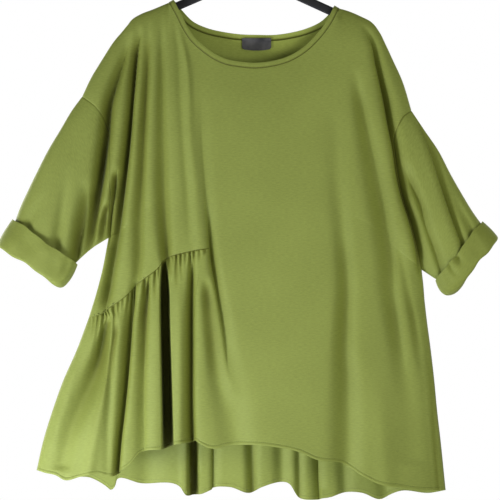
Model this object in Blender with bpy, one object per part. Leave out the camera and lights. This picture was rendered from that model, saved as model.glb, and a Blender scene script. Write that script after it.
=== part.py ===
"""Tunic top on a hanger: a wide jersey tunic with a gathered inset, dropped shoulders and turned-up
sleeves, hanging flat on a slim bar hanger.

Metres, +Z up, the garment's front towards -Y. The origin is where the hook bears on its rod. Left and
right are as seen from the front. The tables are in millimetres: across is measured to the right of the
hanger's middle, and down is measured below the highest point of the collar.
"""

import collections
import math

import bpy
import numpy as np

MM = 0.001

# Driving sizes, in millimetres
HOOK_TO_COLLAR = 118.0
CLOTH = 1.1
BAND_WIDTH = 9.5
BAND_THICK = 1.7
BAND_PROUD = 0.3
SEAM_GAP = 0.3
SLEEVE_GAP = 0.4
NECK_HALF_WIDTH = 149.0
NECK_FRONT_DEPTH = 16.0
NECK_BACK_DEPTH = 10.0
NECK_SQUARENESS = 6.0
SHOULDER_ROUND = 60.0
SIDE_SWAY = 3
BODY_SQUARENESS = 2.6
SLEEVE_SQUARENESS = 2.2
ARMHOLE_DEPTH = 24.0
CUFF_DEPTH = 52.0
LABEL_STAND_OFF = 1.0
LABEL_THICK = 1.0
BAR_THICK = 5.0
BAR_HEIGHT = 15.0
BAR_DROP = 4.0
HOOK_WIRE = 3.6
HOOK_RADIUS = 19.0
BAR_PEAK = 60.0
BAR_TIP_SCALE = 0.55
BAR_SIDES = 12
GATHER_HEIGHT = 1.25
GATHER_START = 9.0
GATHER_REACH = 120.0
GATHER_FALL = 1.5
FOLD_FADE = 0.3
CUFF_EASE = 1.0
SLEEVE_CALM = 0.25

Level = collections.namedtuple("Level", "down front back")
Fold = collections.namedtuple(
    "Fold", "top_across top_down mid_across mid_down low_across low_down half_width depth"
)
Ring = collections.namedtuple("Ring", "top_across top_down low_across low_down half_depth")
Stop = collections.namedtuple("Stop", "along stand_off")

# Lines of the garment as it hangs, rows of (across, down)
SHOULDER_LEFT = [
    (-301, 166), (-287, 136), (-266, 101), (-243, 66), (-231, 52), (-222, 41),
    (-213, 30), (-200, 22), (-175, 12), (-149, 1),
]
SHOULDER_RIGHT = [
    (149, 11), (163, 15), (187, 25), (207, 36), (220, 53), (231, 75), (243, 101),
    (259, 136), (276, 191),
]
NECK_FRONT = [
    (-149, 1), (-136, 25), (-124, 49), (-112, 67), (-94, 84), (-73, 99), (-51, 109),
    (-24, 114), (3, 116), (31, 113), (63, 104), (89, 89), (112, 68), (135, 38), (149, 11),
]
NECK_BACK = [
    (-149, 1), (-133, 21), (-112, 42), (-84, 55), (-54, 62), (-24, 66), (5, 67),
    (37, 67), (66, 63), (96, 55), (124, 41), (140, 25), (149, 11),
]
ARMHOLE_LEFT = [
    (-301, 166), (-276, 185), (-266, 198), (-257, 219), (-249, 236), (-247, 259),
    (-248, 303), (-250, 346), (-252, 381), (-255, 413),
]
ARMHOLE_RIGHT = [
    (276, 191), (262, 201), (255, 213), (248, 227), (244, 241), (246, 259), (252, 303),
    (262, 346), (276, 390), (287, 434), (294, 469),
]
SIDE_LEFT_HIGH = [(-255, 413), (-259, 434), (-266, 469), (-275, 504), (-290, 553)]
SIDE_LEFT_LOW = [(-290, 553), (-311, 609), (-334, 661), (-353, 714), (-369, 766), (-381, 819)]
SIDE_RIGHT_HIGH = [(294, 469), (297, 495), (299, 521)]
SIDE_RIGHT_LOW = [
    (299, 521), (303, 556), (310, 609), (316, 661), (321, 714), (327, 766), (336, 854),
]
GATHER_SEAM = [
    (-290, 553), (-275, 548), (-257, 541), (-243, 530), (-226, 516), (-208, 499), (-187, 481),
    (-168, 465), (-156, 451), (-143, 444), (-121, 438), (-103, 434), (-80, 430),
]
SEAM_LEVEL_RIGHT = [(-80, 430), (-25, 436), (80, 455), (186, 478), (299, 521)]
INSET_SEAM = [(-80, 430), (-92, 452), (-99, 500), (-102, 590), (-101, 696), (-99, 767)]
HEM_INSET = [
    (-381, 819), (-366, 824), (-348, 828), (-331, 837), (-304, 831), (-278, 826), (-247, 830),
    (-234, 824), (-222, 815), (-198, 789), (-159, 782), (-140, 775), (-121, 772), (-99, 767),
]
HEM_FRONT = [
    (-99, 767), (-86, 778), (-72, 782), (-42, 776), (-7, 775), (37, 779), (80, 788),
    (112, 802), (156, 808), (189, 829), (222, 845), (255, 850), (290, 855), (336, 854),
]
HEM_BACK = [
    (-381, 819), (-332, 838), (-290, 838), (-250, 850), (-199, 842), (-129, 851), (-98, 861),
    (-58, 850), (-7, 858), (45, 845), (100, 869), (159, 859), (215, 870), (258, 859), (308, 860),
    (336, 854),
]
SLEEVE_TOP_LEFT = [
    (-301, 166), (-318, 189), (-339, 224), (-360, 259), (-378, 294), (-395, 329), (-411, 364),
    (-420, 390),
]
SLEEVE_LOW_LEFT = [(-255, 413), (-282, 430), (-304, 449), (-319, 464)]
SLEEVE_TOP_RIGHT = [
    (276, 191), (298, 224), (322, 259), (345, 303), (365, 338), (384, 369), (402, 394),
]
SLEEVE_LOW_RIGHT = [(294, 469), (303, 475), (315, 483), (327, 490)]

# How far the hanging cloth stands in front of and behind the hanger, by level
LEVELS = [
    Level(0, 13, 12), Level(60, 15, 13), Level(115, 18, 15), Level(250, 25, 21),
    Level(430, 33, 29), Level(600, 42, 37), Level(770, 50, 44), Level(871, 54, 48),
]

# Folds that show from a step away. A positive depth is a trough, a negative one a ridge.
FRONT_FOLDS = [
    Fold(-206, 60, -220, 259, -250, 520, 10, 15),
    Fold(-232, 80, -238, 259, -262, 470, 9, -4),
    Fold(-188, 60, -199, 259, -209, 480, 9, 6),
    Fold(-165, 60, -168, 259, -161, 500, 9, 7),
    Fold(-120, 50, -110, 300, -97, 480, 10, -6),
    Fold(-95, 110, -90, 300, -76, 500, 12, 6),
    Fold(-237, 70, -260, 215, -287, 440, 10, 20),
    Fold(-246, 280, -252, 350, -257, 415, 8, 8),
    Fold(-301, 290, -302, 370, -312, 450, 11, 12),
    Fold(-338, 310, -345, 380, -340, 455, 12, 8),
    Fold(-390, 345, -383, 395, -374, 440, 12, 2),
    Fold(208, 50, 238, 225, 291, 485, 9, 17),
    Fold(189, 50, 217, 225, 270, 480, 14, -6),
    Fold(176, 90, 200, 346, 250, 680, 20, 8),
    Fold(128, 110, 143, 346, 147, 850, 18, 7),
    Fold(257, 205, 277, 330, 314, 455, 9, 9),
    Fold(285, 200, 325, 320, 368, 440, 10, 9),
    Fold(-76, 400, -62, 520, -38, 700, 13, 9),
    Fold(60, 600, 66, 730, 72, 900, 40, -8),
    Fold(262, 560, 262, 730, 258, 940, 30, 7),
]
INSET_FOLDS = [
    Fold(-212, 480, -223, 620, -237, 1000, 9, 15),
    Fold(-192, 470, -199, 610, -202, 1000, 7, 6),
    Fold(-158, 425, -156, 600, -156, 1100, 8, 19),
    Fold(-110, 420, -113, 600, -110, 1100, 8, 13),
    Fold(-250, 530, -275, 615, -330, 830, 11, 8),
    Fold(-300, 640, -318, 730, -345, 980, 18, 6),
    Fold(-136, 470, -134, 640, -132, 1100, 9, -4),
]
BACK_FOLDS = [
    Fold(-206, 60, -222, 259, -262, 620, 14, 8),
    Fold(-258, 120, -268, 260, -300, 440, 14, 8),
    Fold(-150, 300, -180, 560, -205, 1200, 18, -10),
    Fold(-100, 330, -105, 560, -109, 1200, 12, -14),
    Fold(-60, 330, -68, 600, -73, 1200, 11, -9),
    Fold(-15, 330, -12, 600, -9, 1200, 13, -10),
    Fold(35, 330, 40, 600, 45, 1200, 12, -9),
    Fold(90, 330, 103, 600, 112, 1200, 14, -11),
    Fold(130, 330, 148, 600, 158, 1200, 12, -8),
    Fold(185, 250, 215, 560, 222, 1200, 16, -9),
    Fold(208, 60, 232, 240, 280, 560, 13, 8),
    Fold(290, 240, 320, 330, 362, 440, 12, 6),
]

# Shares of a line's length at which the cloth has a row or a column of points
ARMHOLE_ROWS = [0, 0.012, 0.05, 0.12, 0.22, 0.34, 0.47, 0.60, 0.73, 0.85, 0.94, 1]
SIDE_ROWS = [0.5, 1]
LOW_ROWS = [0, 0.02, 0.05, 0.1, 0.18, 0.29, 0.43, 0.6, 0.8, 1]
SLEEVE_COLUMNS = [0, 0.05, 0.15, 0.28, 0.42, 0.56, 0.7, 0.83, 0.93, 1]
SHOULDER_LEFT_COLUMNS = 20
NECK_LEFT_SHARES = [0, 0.01, 0.045, 0.09, 0.14]
NECK_RIGHT_SHARES = [
    0.14, 0.2, 0.26, 0.32, 0.38, 0.44, 0.5, 0.56, 0.62, 0.68, 0.74, 0.8, 0.86, 0.92, 0.96, 0.99, 1,
]
NECK_BACK_SHARES = [
    0, 0.012, 0.05, 0.12, 0.21, 0.3, 0.39, 0.48, 0.57, 0.66, 0.75, 0.84, 0.91, 0.96, 0.988, 1,
]
SHOULDER_RIGHT_COLUMNS = 12
SHOULDER_BACK_COLUMNS = 8
SEAM_SHARE_UNDER_NECK = 0.62
GATHER_CELLS = 4
# Two waves, each of (turn per gather, start), whose sum makes the gathers' spacing uneven
GATHER_WAVES = [(2.3, 0.0), (5.1, 1.0)]
GATHER_UNEVENNESS = 0.22

# The cuff's rings: at its free edge and at its fold, on the sleeve's own surface
CUFF_LEFT = [Ring(-418, 382, -313, 457, 33), Ring(-445, 428, -341, 498, 34)]
CUFF_RIGHT = [Ring(396, 387, 321, 484, 32), Ring(424, 417, 350, 511, 33)]
# Along the cuff from its free edge, and out from the sleeve's surface: up inside and back down outside
CUFF_PATH = [
    Stop(12, 0), Stop(26, 0), Stop(40, 0.1), Stop(48.5, 0.3), Stop(51.4, 1.3),
    Stop(52, 2.7), Stop(51.2, 4.2), Stop(48, 5.1), Stop(34, 5.6), Stop(17, 5.2), Stop(0, 4.4),
]
LABEL = {"left": -20, "right": 30, "top": 65.5, "low": 85, "sag": 2.5}
# The middle of the hanger's bar where it rises out of the neck to the foot of its hook
BAR_RISE = [(-75, -31), (-12, 2 - BAR_PEAK), (0, -BAR_PEAK), (12, 2 - BAR_PEAK), (75, -24)]
# At the neck points, where the seam turns from front to back, the band leans this way (across, up)
NECK_POINT_LEAN = (0.88, 0.47)
NECK_TURN = 0.6

GREEN = (0.235, 0.285, 0.062, 1.0)
CUFF_GREEN = (0.25, 0.30, 0.07, 1.0)
LABEL_GREY = (0.11, 0.115, 0.12, 1.0)
HANGER_BLACK = (0.012, 0.012, 0.012, 1.0)
STEEL = (0.05, 0.05, 0.05, 1.0)


def line(table, shares):
    """Points at shares of the length of a smooth line through the rows of a table."""
    knots = np.array(table, float)
    steps = np.linalg.norm(np.diff(knots, axis=0), axis=1)
    at = np.concatenate([[0.0], np.cumsum(steps)]) / steps.sum()
    slopes = np.gradient(knots, at, axis=0)
    shares = np.clip(np.asarray(shares, float), 0, 1)
    i = np.clip(np.searchsorted(at, shares, side="right") - 1, 0, len(at) - 2)
    span = (at[i + 1] - at[i])[:, None]
    f = (shares - at[i])[:, None] / span
    start = (2 * f**3 - 3 * f**2 + 1) * knots[i] + (f**3 - 2 * f**2 + f) * span * slopes[i]
    end = (3 * f**2 - 2 * f**3) * knots[i + 1] + (f**3 - f**2) * span * slopes[i + 1]
    return start + end


def joined(*lines):
    """Lines that follow on from each other, as one."""
    return np.concatenate([lines[0]] + [part[1:] for part in lines[1:]])


def shares_of(first, second):
    """Where the points of two lines lie along them, from 0 to 1, as the mean of both."""
    found = []
    for points in (first, second):
        steps = np.linalg.norm(np.diff(points, axis=0), axis=1)
        found.append(np.concatenate([[0.0], np.cumsum(steps)]) / steps.sum())
    return (found[0] + found[1]) / 2


def patch(top, low, left, right):
    """A grid of points between four lines that share their corners.

    Its columns run from the top line to the low one, and bend with the side lines only near them.
    """
    u = shares_of(top, low)[None, :, None]
    v = shares_of(left, right)[:, None, None]
    straight = (1 - v) * top[None] + v * low[None]
    left_bend = (left[:, None] - straight[:, :1]) * (1 - u) ** SIDE_SWAY
    right_bend = (right[:, None] - straight[:, -1:]) * u**SIDE_SWAY
    return straight + left_bend + right_bend


def swell(share, squareness):
    """From 0 at both ends of a share to 1 in its middle, upright at the ends."""
    inner = np.clip(1 - np.abs(2 * share - 1) ** squareness, 0, 1)
    return inner ** (1 / squareness)


def eased(share):
    """From 0 to 1, level at both ends."""
    share = np.clip(share, 0, 1)
    return share * share * (3 - 2 * share)


def fold_push(table, across, down):
    """How far the folds of a table push each point towards the inside of the garment."""
    push = np.zeros_like(across)
    for fold in table:
        levels = (fold.top_down, fold.mid_down, fold.low_down)
        path = np.polyfit(levels, (fold.top_across, fold.mid_across, fold.low_across), 2)
        share = (down - fold.top_down) / (fold.low_down - fold.top_down)
        fade = eased(share / FOLD_FADE) * eased((1 - share) / FOLD_FADE)
        off = (across - np.polyval(path, down)) / fold.half_width
        push += fold.depth * fade * np.exp(-off * off)
    return push


def neck_stand(across, depth):
    """How far the neck's edge stands from the hanger's plane."""
    return depth * swell(across / NECK_HALF_WIDTH / 2 + 0.5, NECK_SQUARENESS)


def body_stand(grid, share_across, edge, top_line, level_column, neck_depth, folds):
    """How far a body panel stands from the hanger's plane, at each point of its grid.

    edge is 0 where the panel closes on a side seam and up to 1 where it opens into a sleeve.
    """
    across, down = grid[..., 0], grid[..., 1]
    level = np.interp(down, [row.down for row in LEVELS], [row[level_column] for row in LEVELS])
    neck = neck_stand(across, neck_depth)
    below = down - np.interp(across, top_line[:, 0], top_line[:, 1])
    near_top = 1 - np.clip(below / SHOULDER_ROUND, 0, 1)
    rise = np.sqrt(1 - near_top**2)
    closing = swell(share_across, BODY_SQUARENESS)
    stand = edge * ARMHOLE_DEPTH + (level - edge * ARMHOLE_DEPTH) * closing
    give = (edge + (1 - edge) * closing) * rise
    return neck + (stand - neck) * rise - fold_push(folds, across, down) * give


def placed(grid, stand, side):
    """Points in space from a flat grid: side is -1 in front of the hanger and 1 behind it."""
    across, down = grid[..., 0], grid[..., 1]
    return np.stack([across, side * stand, -HOOK_TO_COLLAR - down], axis=-1)


def quads_of(rows, columns, ring=False):
    """The faces of a grid, as corner numbers, facing the front where columns run to the right."""
    faces = []
    for i in range(rows - 1):
        here, below = i * columns, (i + 1) * columns
        for j in range(columns if ring else columns - 1):
            k = (j + 1) % columns
            faces.append((here + j, below + j, below + k, here + k))
    return faces


Piece = collections.namedtuple("Piece", "points faces")


def piece_of(grid, faces, flip):
    """A piece of cloth from a grid, keeping only the points that its faces use."""
    points = grid.reshape(-1, 3)
    used = np.unique(np.array(faces))
    place = {old: new for new, old in enumerate(used)}
    order = reversed if flip else iter
    kept = [tuple(place[corner] for corner in order(face)) for face in faces]
    return Piece(points[used], kept)


def own_normals(piece):
    """Unit normals at a piece's points, from its own faces."""
    faces = np.array(piece.faces)
    corners = piece.points[faces]
    facing = np.cross(corners[:, 2] - corners[:, 0], corners[:, 3] - corners[:, 1])
    total = np.zeros_like(piece.points)
    for corner in range(4):
        np.add.at(total, faces[:, corner], facing)
    return total / np.linalg.norm(total, axis=1, keepdims=True)


def normals_of(pieces):
    """Unit normals at each piece's points, shared across seams so that walls meet square there."""
    points = np.concatenate([piece.points for piece in pieces])
    _, same = np.unique(np.round(points, 3), axis=0, return_inverse=True)
    same = same.reshape(-1)
    total = np.zeros((same.max() + 1, 3))
    np.add.at(total, same, np.concatenate([own_normals(piece) for piece in pieces]))
    on_plane = np.zeros(len(total), bool)
    on_plane[same] = np.abs(points[:, 1]) < 1e-6
    total[on_plane, 1] = 0
    total /= np.linalg.norm(total, axis=1, keepdims=True)
    return np.split(total[same], np.cumsum([len(piece.points) for piece in pieces])[:-1])


def border_of(faces):
    """The edges that only one face uses, as (from, to, face number)."""
    owner = {}
    for number, face in enumerate(faces):
        for a, b in zip(face, face[1:] + face[:1]):
            owner[(a, b)] = number
    return [(a, b, number) for (a, b), number in owner.items() if (b, a) not in owner]


def pulled_back(piece, border, normals, gap):
    """The piece's points with each border moved in by half a gap."""
    inward = collections.defaultdict(list)
    for a, b, number in border:
        centre = piece.points[list(piece.faces[number])].mean(axis=0)
        along = piece.points[b] - piece.points[a]
        along = along / np.linalg.norm(along)
        towards = centre - piece.points[a]
        normal = normals[a] + normals[b]
        normal = normal - along * (normal @ along)
        normal = normal / np.linalg.norm(normal)
        towards = towards - along * (towards @ along) - normal * (towards @ normal)
        towards = towards / np.linalg.norm(towards)
        inward[a].append(towards)
        inward[b].append(towards)
    moved = piece.points.copy()
    for number, directions in inward.items():
        first, last = directions[0], directions[-1]
        moved[number] += gap / 2 * (first + last) / max(0.5, 1 + first @ last)
    return moved


def halves_of(face, points):
    """A four-cornered face as two triangles, split along its shorter diagonal."""
    a, b, c, d = face
    if np.linalg.norm(points[a] - points[c]) <= np.linalg.norm(points[b] - points[d]):
        return [(a, b, c), (a, c, d)]
    return [(a, b, d), (b, c, d)]


def wall(name, piece, normals, material, thick=CLOTH, proud=0.0, gap=SEAM_GAP):
    """A closed wall of cloth: the piece's own surface outside, and one inside it by its thickness."""
    border = border_of(piece.faces)
    surface = pulled_back(piece, border, normals, gap) + normals * proud
    count = len(surface)
    corners = np.concatenate([surface, surface - normals * thick])
    faces = [half for face in piece.faces for half in halves_of(face, piece.points)]
    faces += [tuple(count + corner for corner in reversed(half)) for half in faces]
    for a, b, _ in border:
        # Both sides of a seam split their rims the same way, so that twisted rims stay apart.
        if surface[a, 2] > surface[b, 2]:
            faces += [(b, a, count + b), (a, count + a, count + b)]
        else:
            faces += [(b, a, count + a), (b, count + a, count + b)]
    return mesh_object(name, corners, faces, material)


def mesh_object(name, corners, faces, material):
    """A named object from corners in millimetres."""
    mesh = bpy.data.meshes.new(name)
    mesh.from_pydata((np.asarray(corners) * MM).tolist(), [], [list(face) for face in faces])
    mesh.validate()
    mesh.shade_smooth()
    mesh.set_sharp_from_angle(angle=math.radians(60))
    mesh.materials.append(material)
    made = bpy.data.objects.new(name, mesh)
    bpy.context.scene.collection.objects.link(made)
    return made


def material_of(name, colour, roughness, metallic=0.0):
    """A plain material with the part's colour."""
    made = bpy.data.materials.new(name)
    made.use_nodes = True
    shader = made.node_tree.nodes["Principled BSDF"]
    shader.inputs["Base Color"].default_value = colour
    shader.inputs["Roughness"].default_value = roughness
    shader.inputs["Metallic"].default_value = metallic
    return made


def uneven(count):
    """Shares from 0 to 1 that are unevenly spaced, as gathers pushed up by hand are."""
    steps = np.ones(count)
    for turn, start in GATHER_WAVES:
        steps += GATHER_UNEVENNESS * np.sin(turn * np.arange(count) + start)
    return np.concatenate([[0.0], np.cumsum(steps)]) / steps.sum()


def between(shares, cells):
    """The same shares with each step divided into equal cells."""
    places = np.arange((len(shares) - 1) * cells + 1) / cells
    return np.interp(places, np.arange(len(shares)), shares)


def front_lines():
    """The top line of the front and the two side lines, down to the level of the gather seam."""
    top = joined(
        line(SHOULDER_LEFT, np.linspace(0, 1, SHOULDER_LEFT_COLUMNS + 1)),
        line(NECK_FRONT, NECK_LEFT_SHARES),
        line(NECK_FRONT, NECK_RIGHT_SHARES),
        line(SHOULDER_RIGHT, np.linspace(0, 1, SHOULDER_RIGHT_COLUMNS + 1)),
    )
    left = joined(line(ARMHOLE_LEFT, ARMHOLE_ROWS), line(SIDE_LEFT_HIGH, [0] + SIDE_ROWS))
    right = joined(line(ARMHOLE_RIGHT, ARMHOLE_ROWS), line(SIDE_RIGHT_HIGH, [0] + SIDE_ROWS))
    return top, left, right


def armhole_edge():
    """How open the side of each row is: 0 at the shoulder's end and from the underarm down."""
    swelling = swell(np.array(ARMHOLE_ROWS), SLEEVE_SQUARENESS)
    return np.concatenate([swelling, np.zeros(len(SIDE_ROWS) + len(LOW_ROWS) - 1)])


def resampled(values, places):
    """The rows of an array read at places between their numbers, straight from one to the next."""
    numbers = np.arange(len(values))
    return np.stack([np.interp(places, numbers, column) for column in np.transpose(values)], axis=-1)


def front_standing(grid, share_across, edge, top):
    """The front's points in space, from its flat grid."""
    shares = np.broadcast_to(share_across, grid.shape[:2])
    folds = FRONT_FOLDS + INSET_FOLDS
    stand = body_stand(grid, shares, edge[:, None], top, 1, NECK_FRONT_DEPTH, folds)
    return placed(grid, stand, -1)


def inset_surface(cells, seam, seam_shares, share_across, top, seam_in_space):
    """The gathered inset, with each gather's width divided into equal cells."""
    places = np.arange((len(seam) - 1) * cells + 1) / cells
    fine = between(seam_shares, cells)
    side = line(SIDE_LEFT_LOW, LOW_ROWS)
    flat = patch(resampled(seam, places), line(HEM_INSET, fine), side, line(INSET_SEAM, LOW_ROWS))
    shares = np.interp(places, np.arange(len(share_across)), share_across)
    points = front_standing(flat, shares, np.zeros(len(LOW_ROWS)), top)
    points[0] = resampled(seam_in_space, places)
    if cells == 1:
        return points
    below = flat[..., 1] - flat[:1, :, 1]
    height = eased(below / GATHER_START) * (1 - eased(below / GATHER_REACH)) ** GATHER_FALL
    numbers = np.arange(len(fine))
    inside = eased(np.minimum(numbers, numbers[::-1]) / cells)
    wave = np.cos(2 * np.pi * places + np.pi) * inside * (1 + 0.3 * np.sin(1.7 * places))
    points[..., 1] -= GATHER_HEIGHT * height * wave
    return points


def front_surfaces():
    """The front panel, the gathered inset and the inset as coarse as its neighbours."""
    top, left, right = front_lines()
    left_count = SHOULDER_LEFT_COLUMNS + len(NECK_LEFT_SHARES) - 1
    seam_shares = uneven(left_count)
    right_shares = joined(
        np.linspace(0, SEAM_SHARE_UNDER_NECK, len(NECK_RIGHT_SHARES)),
        np.linspace(SEAM_SHARE_UNDER_NECK, 1, SHOULDER_RIGHT_COLUMNS + 1),
    )
    seam = joined(line(GATHER_SEAM, seam_shares), line(SEAM_LEVEL_RIGHT, right_shares))
    share_across = shares_of(top, seam)
    high = front_standing(patch(top, seam, left, right), share_across, armhole_edge()[: len(left)], top)

    low_flat = patch(
        seam[left_count:], line(HEM_FRONT, right_shares),
        line(INSET_SEAM, LOW_ROWS), line(SIDE_RIGHT_LOW, LOW_ROWS),
    )
    low = front_standing(low_flat, share_across[left_count:], np.zeros(len(LOW_ROWS)), top)

    # The panel is all of the grid's columns down to the gather seam, and only those right of it below.
    columns = len(top)
    grid = np.zeros((len(high) + len(low) - 1, columns, 3))
    grid[: len(high)] = high
    grid[len(high) - 1 :, left_count:] = low
    faces = quads_of(len(high), columns)
    for face in quads_of(len(grid), columns)[len(faces) :]:
        if face[0] % columns >= left_count:
            faces.append(face)
    front = piece_of(grid, faces, False)

    seam_left = seam[: left_count + 1]
    seam_in_space = high[-1, : left_count + 1]
    insets = [
        inset_surface(cells, seam_left, seam_shares, share_across[: left_count + 1], top, seam_in_space)
        for cells in (GATHER_CELLS, 1)
    ]
    return front, *insets


def back_surface():
    """The back panel in one piece, from the shoulders to its longer hem."""
    top = joined(
        line(SHOULDER_LEFT, np.linspace(0, 1, SHOULDER_BACK_COLUMNS + 1)),
        line(NECK_BACK, NECK_BACK_SHARES),
        line(SHOULDER_RIGHT, np.linspace(0, 1, SHOULDER_BACK_COLUMNS + 1)),
    )
    left = joined(
        line(ARMHOLE_LEFT, ARMHOLE_ROWS), line(SIDE_LEFT_HIGH, [0] + SIDE_ROWS),
        line(SIDE_LEFT_LOW, LOW_ROWS),
    )
    right = joined(
        line(ARMHOLE_RIGHT, ARMHOLE_ROWS), line(SIDE_RIGHT_HIGH, [0] + SIDE_ROWS),
        line(SIDE_RIGHT_LOW, LOW_ROWS),
    )
    hem = line(HEM_BACK, shares_of(top, top))
    flat = patch(top, hem, left, right)
    shares = np.broadcast_to(shares_of(top, hem), flat.shape[:2])
    stand = body_stand(
        flat, shares, armhole_edge()[:, None], top, 2, NECK_BACK_DEPTH, BACK_FOLDS
    )
    grid = placed(flat, stand, 1)
    return piece_of(grid, quads_of(*grid.shape[:2]), True), top


def sleeve_surface(armhole, top_table, low_table, half_depth, flip):
    """A sleeve as a tube: its front half from the shoulder down to the underarm, then its back half."""
    rows, columns = np.array(ARMHOLE_ROWS), np.array(SLEEVE_COLUMNS)
    start = line(armhole, rows)
    top, low = line(top_table, columns), line(low_table, columns)
    finish = (1 - rows[:, None]) * top[-1] + rows[:, None] * low[-1]
    flat = patch(top, low, start, finish)
    around = swell(rows, SLEEVE_SQUARENESS)[:, None]
    depth = ARMHOLE_DEPTH + (half_depth - ARMHOLE_DEPTH) * eased(columns)[None]
    halves = []
    for side, folds in ((-1, FRONT_FOLDS), (1, BACK_FOLDS)):
        calm = 1 - eased((columns[None] - 1 + SLEEVE_CALM) / SLEEVE_CALM)
        push = fold_push(folds, flat[..., 0], flat[..., 1]) * around * calm
        halves.append(placed(flat, depth * around - push, side))
    tube = np.concatenate([halves[0], halves[1][-2:0:-1]])
    tube = tube.transpose(1, 0, 2)
    return piece_of(tube, quads_of(*tube.shape[:2], ring=True), flip), tube[-1]


def ring_points(ring, stand_off, rows):
    """A flattened ring standing off the sleeve's surface by the given distance."""
    top = np.array([ring.top_across, ring.top_down], float)
    low = np.array([ring.low_across, ring.low_down], float)
    outward = (top - low) / np.linalg.norm(top - low) * stand_off
    share = rows[:, None]
    flat = (1 - share) * (top + outward) + share * (low - outward)
    stand = (ring.half_depth + stand_off) * swell(rows, SLEEVE_SQUARENESS)
    front, back = placed(flat, stand, -1), placed(flat, stand, 1)
    return np.concatenate([front, back[-2:0:-1]])


def cuff_surface(rings, sleeve_end, flip):
    """A turned-up cuff: from the sleeve's end down to its fold, and back up outside the sleeve."""
    rows = np.array(ARMHOLE_ROWS)
    turns = []
    for stop in CUFF_PATH:
        share = stop.along / CUFF_DEPTH
        ring = Ring(*((1 - share) * np.array(rings[0]) + share * np.array(rings[1])))
        turns.append(ring_points(ring, stop.stand_off, rows))
    grid = np.stack(turns)
    grid[0] = sleeve_end
    return piece_of(grid, quads_of(*grid.shape[:2], ring=True), flip)


def band_surface(front_top, back_top):
    """The neck band: a ring along the neck seam, rising into the neck opening."""
    front = placed(front_top, neck_stand(front_top[:, 0], NECK_FRONT_DEPTH), -1)
    back = placed(back_top, neck_stand(back_top[:, 0], NECK_BACK_DEPTH), 1)
    ring = np.concatenate([front, back[-2:0:-1]])
    along = np.roll(ring, -1, axis=0) - np.roll(ring, 1, axis=0)
    along /= np.linalg.norm(along, axis=1, keepdims=True)
    side = np.where(ring[:, 1] <= 0, 1.0, -1.0)
    inward = np.stack([-along[:, 2] * side, np.zeros(len(ring)), along[:, 0] * side], axis=1)
    upright = np.linalg.norm(inward, axis=1, keepdims=True)
    leaning = np.zeros_like(ring)
    leaning[:, 0] = -np.sign(ring[:, 0]) * NECK_POINT_LEAN[0]
    leaning[:, 2] = NECK_POINT_LEAN[1]
    inward = np.where(upright < NECK_TURN, leaning, inward / np.maximum(upright, 1e-6))
    rows = [ring + inward * BAND_WIDTH * share for share in (0, 0.5, 1)]
    return np.stack(rows[::-1])


def build_label(back_top, material):
    """A blank label inside the back of the neck, made from the back panel's points moved in."""
    across = np.linspace(LABEL["left"], LABEL["right"], 7)
    down = np.linspace(LABEL["top"], LABEL["low"], 4)
    flat = np.stack(np.meshgrid(across, down), axis=-1)
    bow = LABEL["sag"] * np.sin(np.pi * np.linspace(0, 1, len(across)))
    flat[..., 1] += bow[None] * np.linspace(0, 1, len(down))[:, None]
    middle = np.full(flat.shape[:2], 0.5)
    stand = body_stand(flat, middle, 0.0, back_top, 2, NECK_BACK_DEPTH, [])
    grid = placed(flat, stand - CLOTH - LABEL_STAND_OFF, 1)
    piece = piece_of(grid, quads_of(*grid.shape[:2]), True)
    return wall("label_blank", piece, normals_of([piece])[0], material, LABEL_THICK)


def build_bar(material):
    """The hanger's bar: one slim bar from shoulder to shoulder, under the shoulder lines."""
    left = line(SHOULDER_LEFT[6:], [0.1, 0.3, 0.6, 0.9])
    right = line(SHOULDER_RIGHT[:4], [0.1, 0.4, 0.7, 0.9])
    spine = np.concatenate([left, BAR_RISE, right]) + (0, BAR_DROP + BAR_HEIGHT / 2)
    along = np.gradient(spine, axis=0)
    along /= np.linalg.norm(along, axis=1, keepdims=True)
    up = np.stack([along[:, 1], -along[:, 0]], axis=1)
    turns = np.linspace(0, 2 * np.pi, BAR_SIDES, endpoint=False)
    rings = []
    for number, (centre, upward) in enumerate(zip(spine, up)):
        scale = BAR_TIP_SCALE if number in (0, len(spine) - 1) else 1.0
        high = np.sign(np.cos(turns)) * np.abs(np.cos(turns)) ** 0.7 * BAR_HEIGHT / 2 * scale
        wide = np.sign(np.sin(turns)) * np.abs(np.sin(turns)) ** 0.8 * BAR_THICK / 2 * scale
        flat = centre + upward * high[:, None]
        rings.append(np.stack([flat[:, 0], wide, -HOOK_TO_COLLAR - flat[:, 1]], axis=1))
    corners = np.concatenate(rings)
    count = len(turns)
    faces = quads_of(len(rings), count, ring=True)
    faces.append(tuple(range(count)))
    faces.append(tuple(reversed(range(len(corners) - count, len(corners)))))
    return mesh_object("hanger_bar", corners, faces, material)


def build_hook(material):
    """The hanger's wire hook, standing on the middle of the bar, with the rod's place at the origin."""
    wire = HOOK_WIRE / 2
    crook = HOOK_RADIUS + wire
    foot = -HOOK_TO_COLLAR + BAR_PEAK - BAR_DROP + SEAM_GAP
    centre = -HOOK_RADIUS
    points = [(0, foot), (0, centre - crook - 4)]
    for turn in np.radians(np.linspace(-90, 180, 19)):
        points.append((crook * math.cos(turn), centre + crook * math.sin(turn)))
    curve = bpy.data.curves.new("hanger_hook", "CURVE")
    curve.dimensions = "3D"
    spline = curve.splines.new("POLY")
    spline.points.add(len(points) - 1)
    for point, (x, z) in zip(spline.points, points):
        point.co = (x * MM, 0, z * MM, 1)
    curve.bevel_depth = wire * MM
    curve.bevel_resolution = 3
    curve.use_fill_caps = True
    curve.materials.append(material)
    made = bpy.data.objects.new("hanger_hook", curve)
    bpy.context.scene.collection.objects.link(made)
    return made


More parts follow.
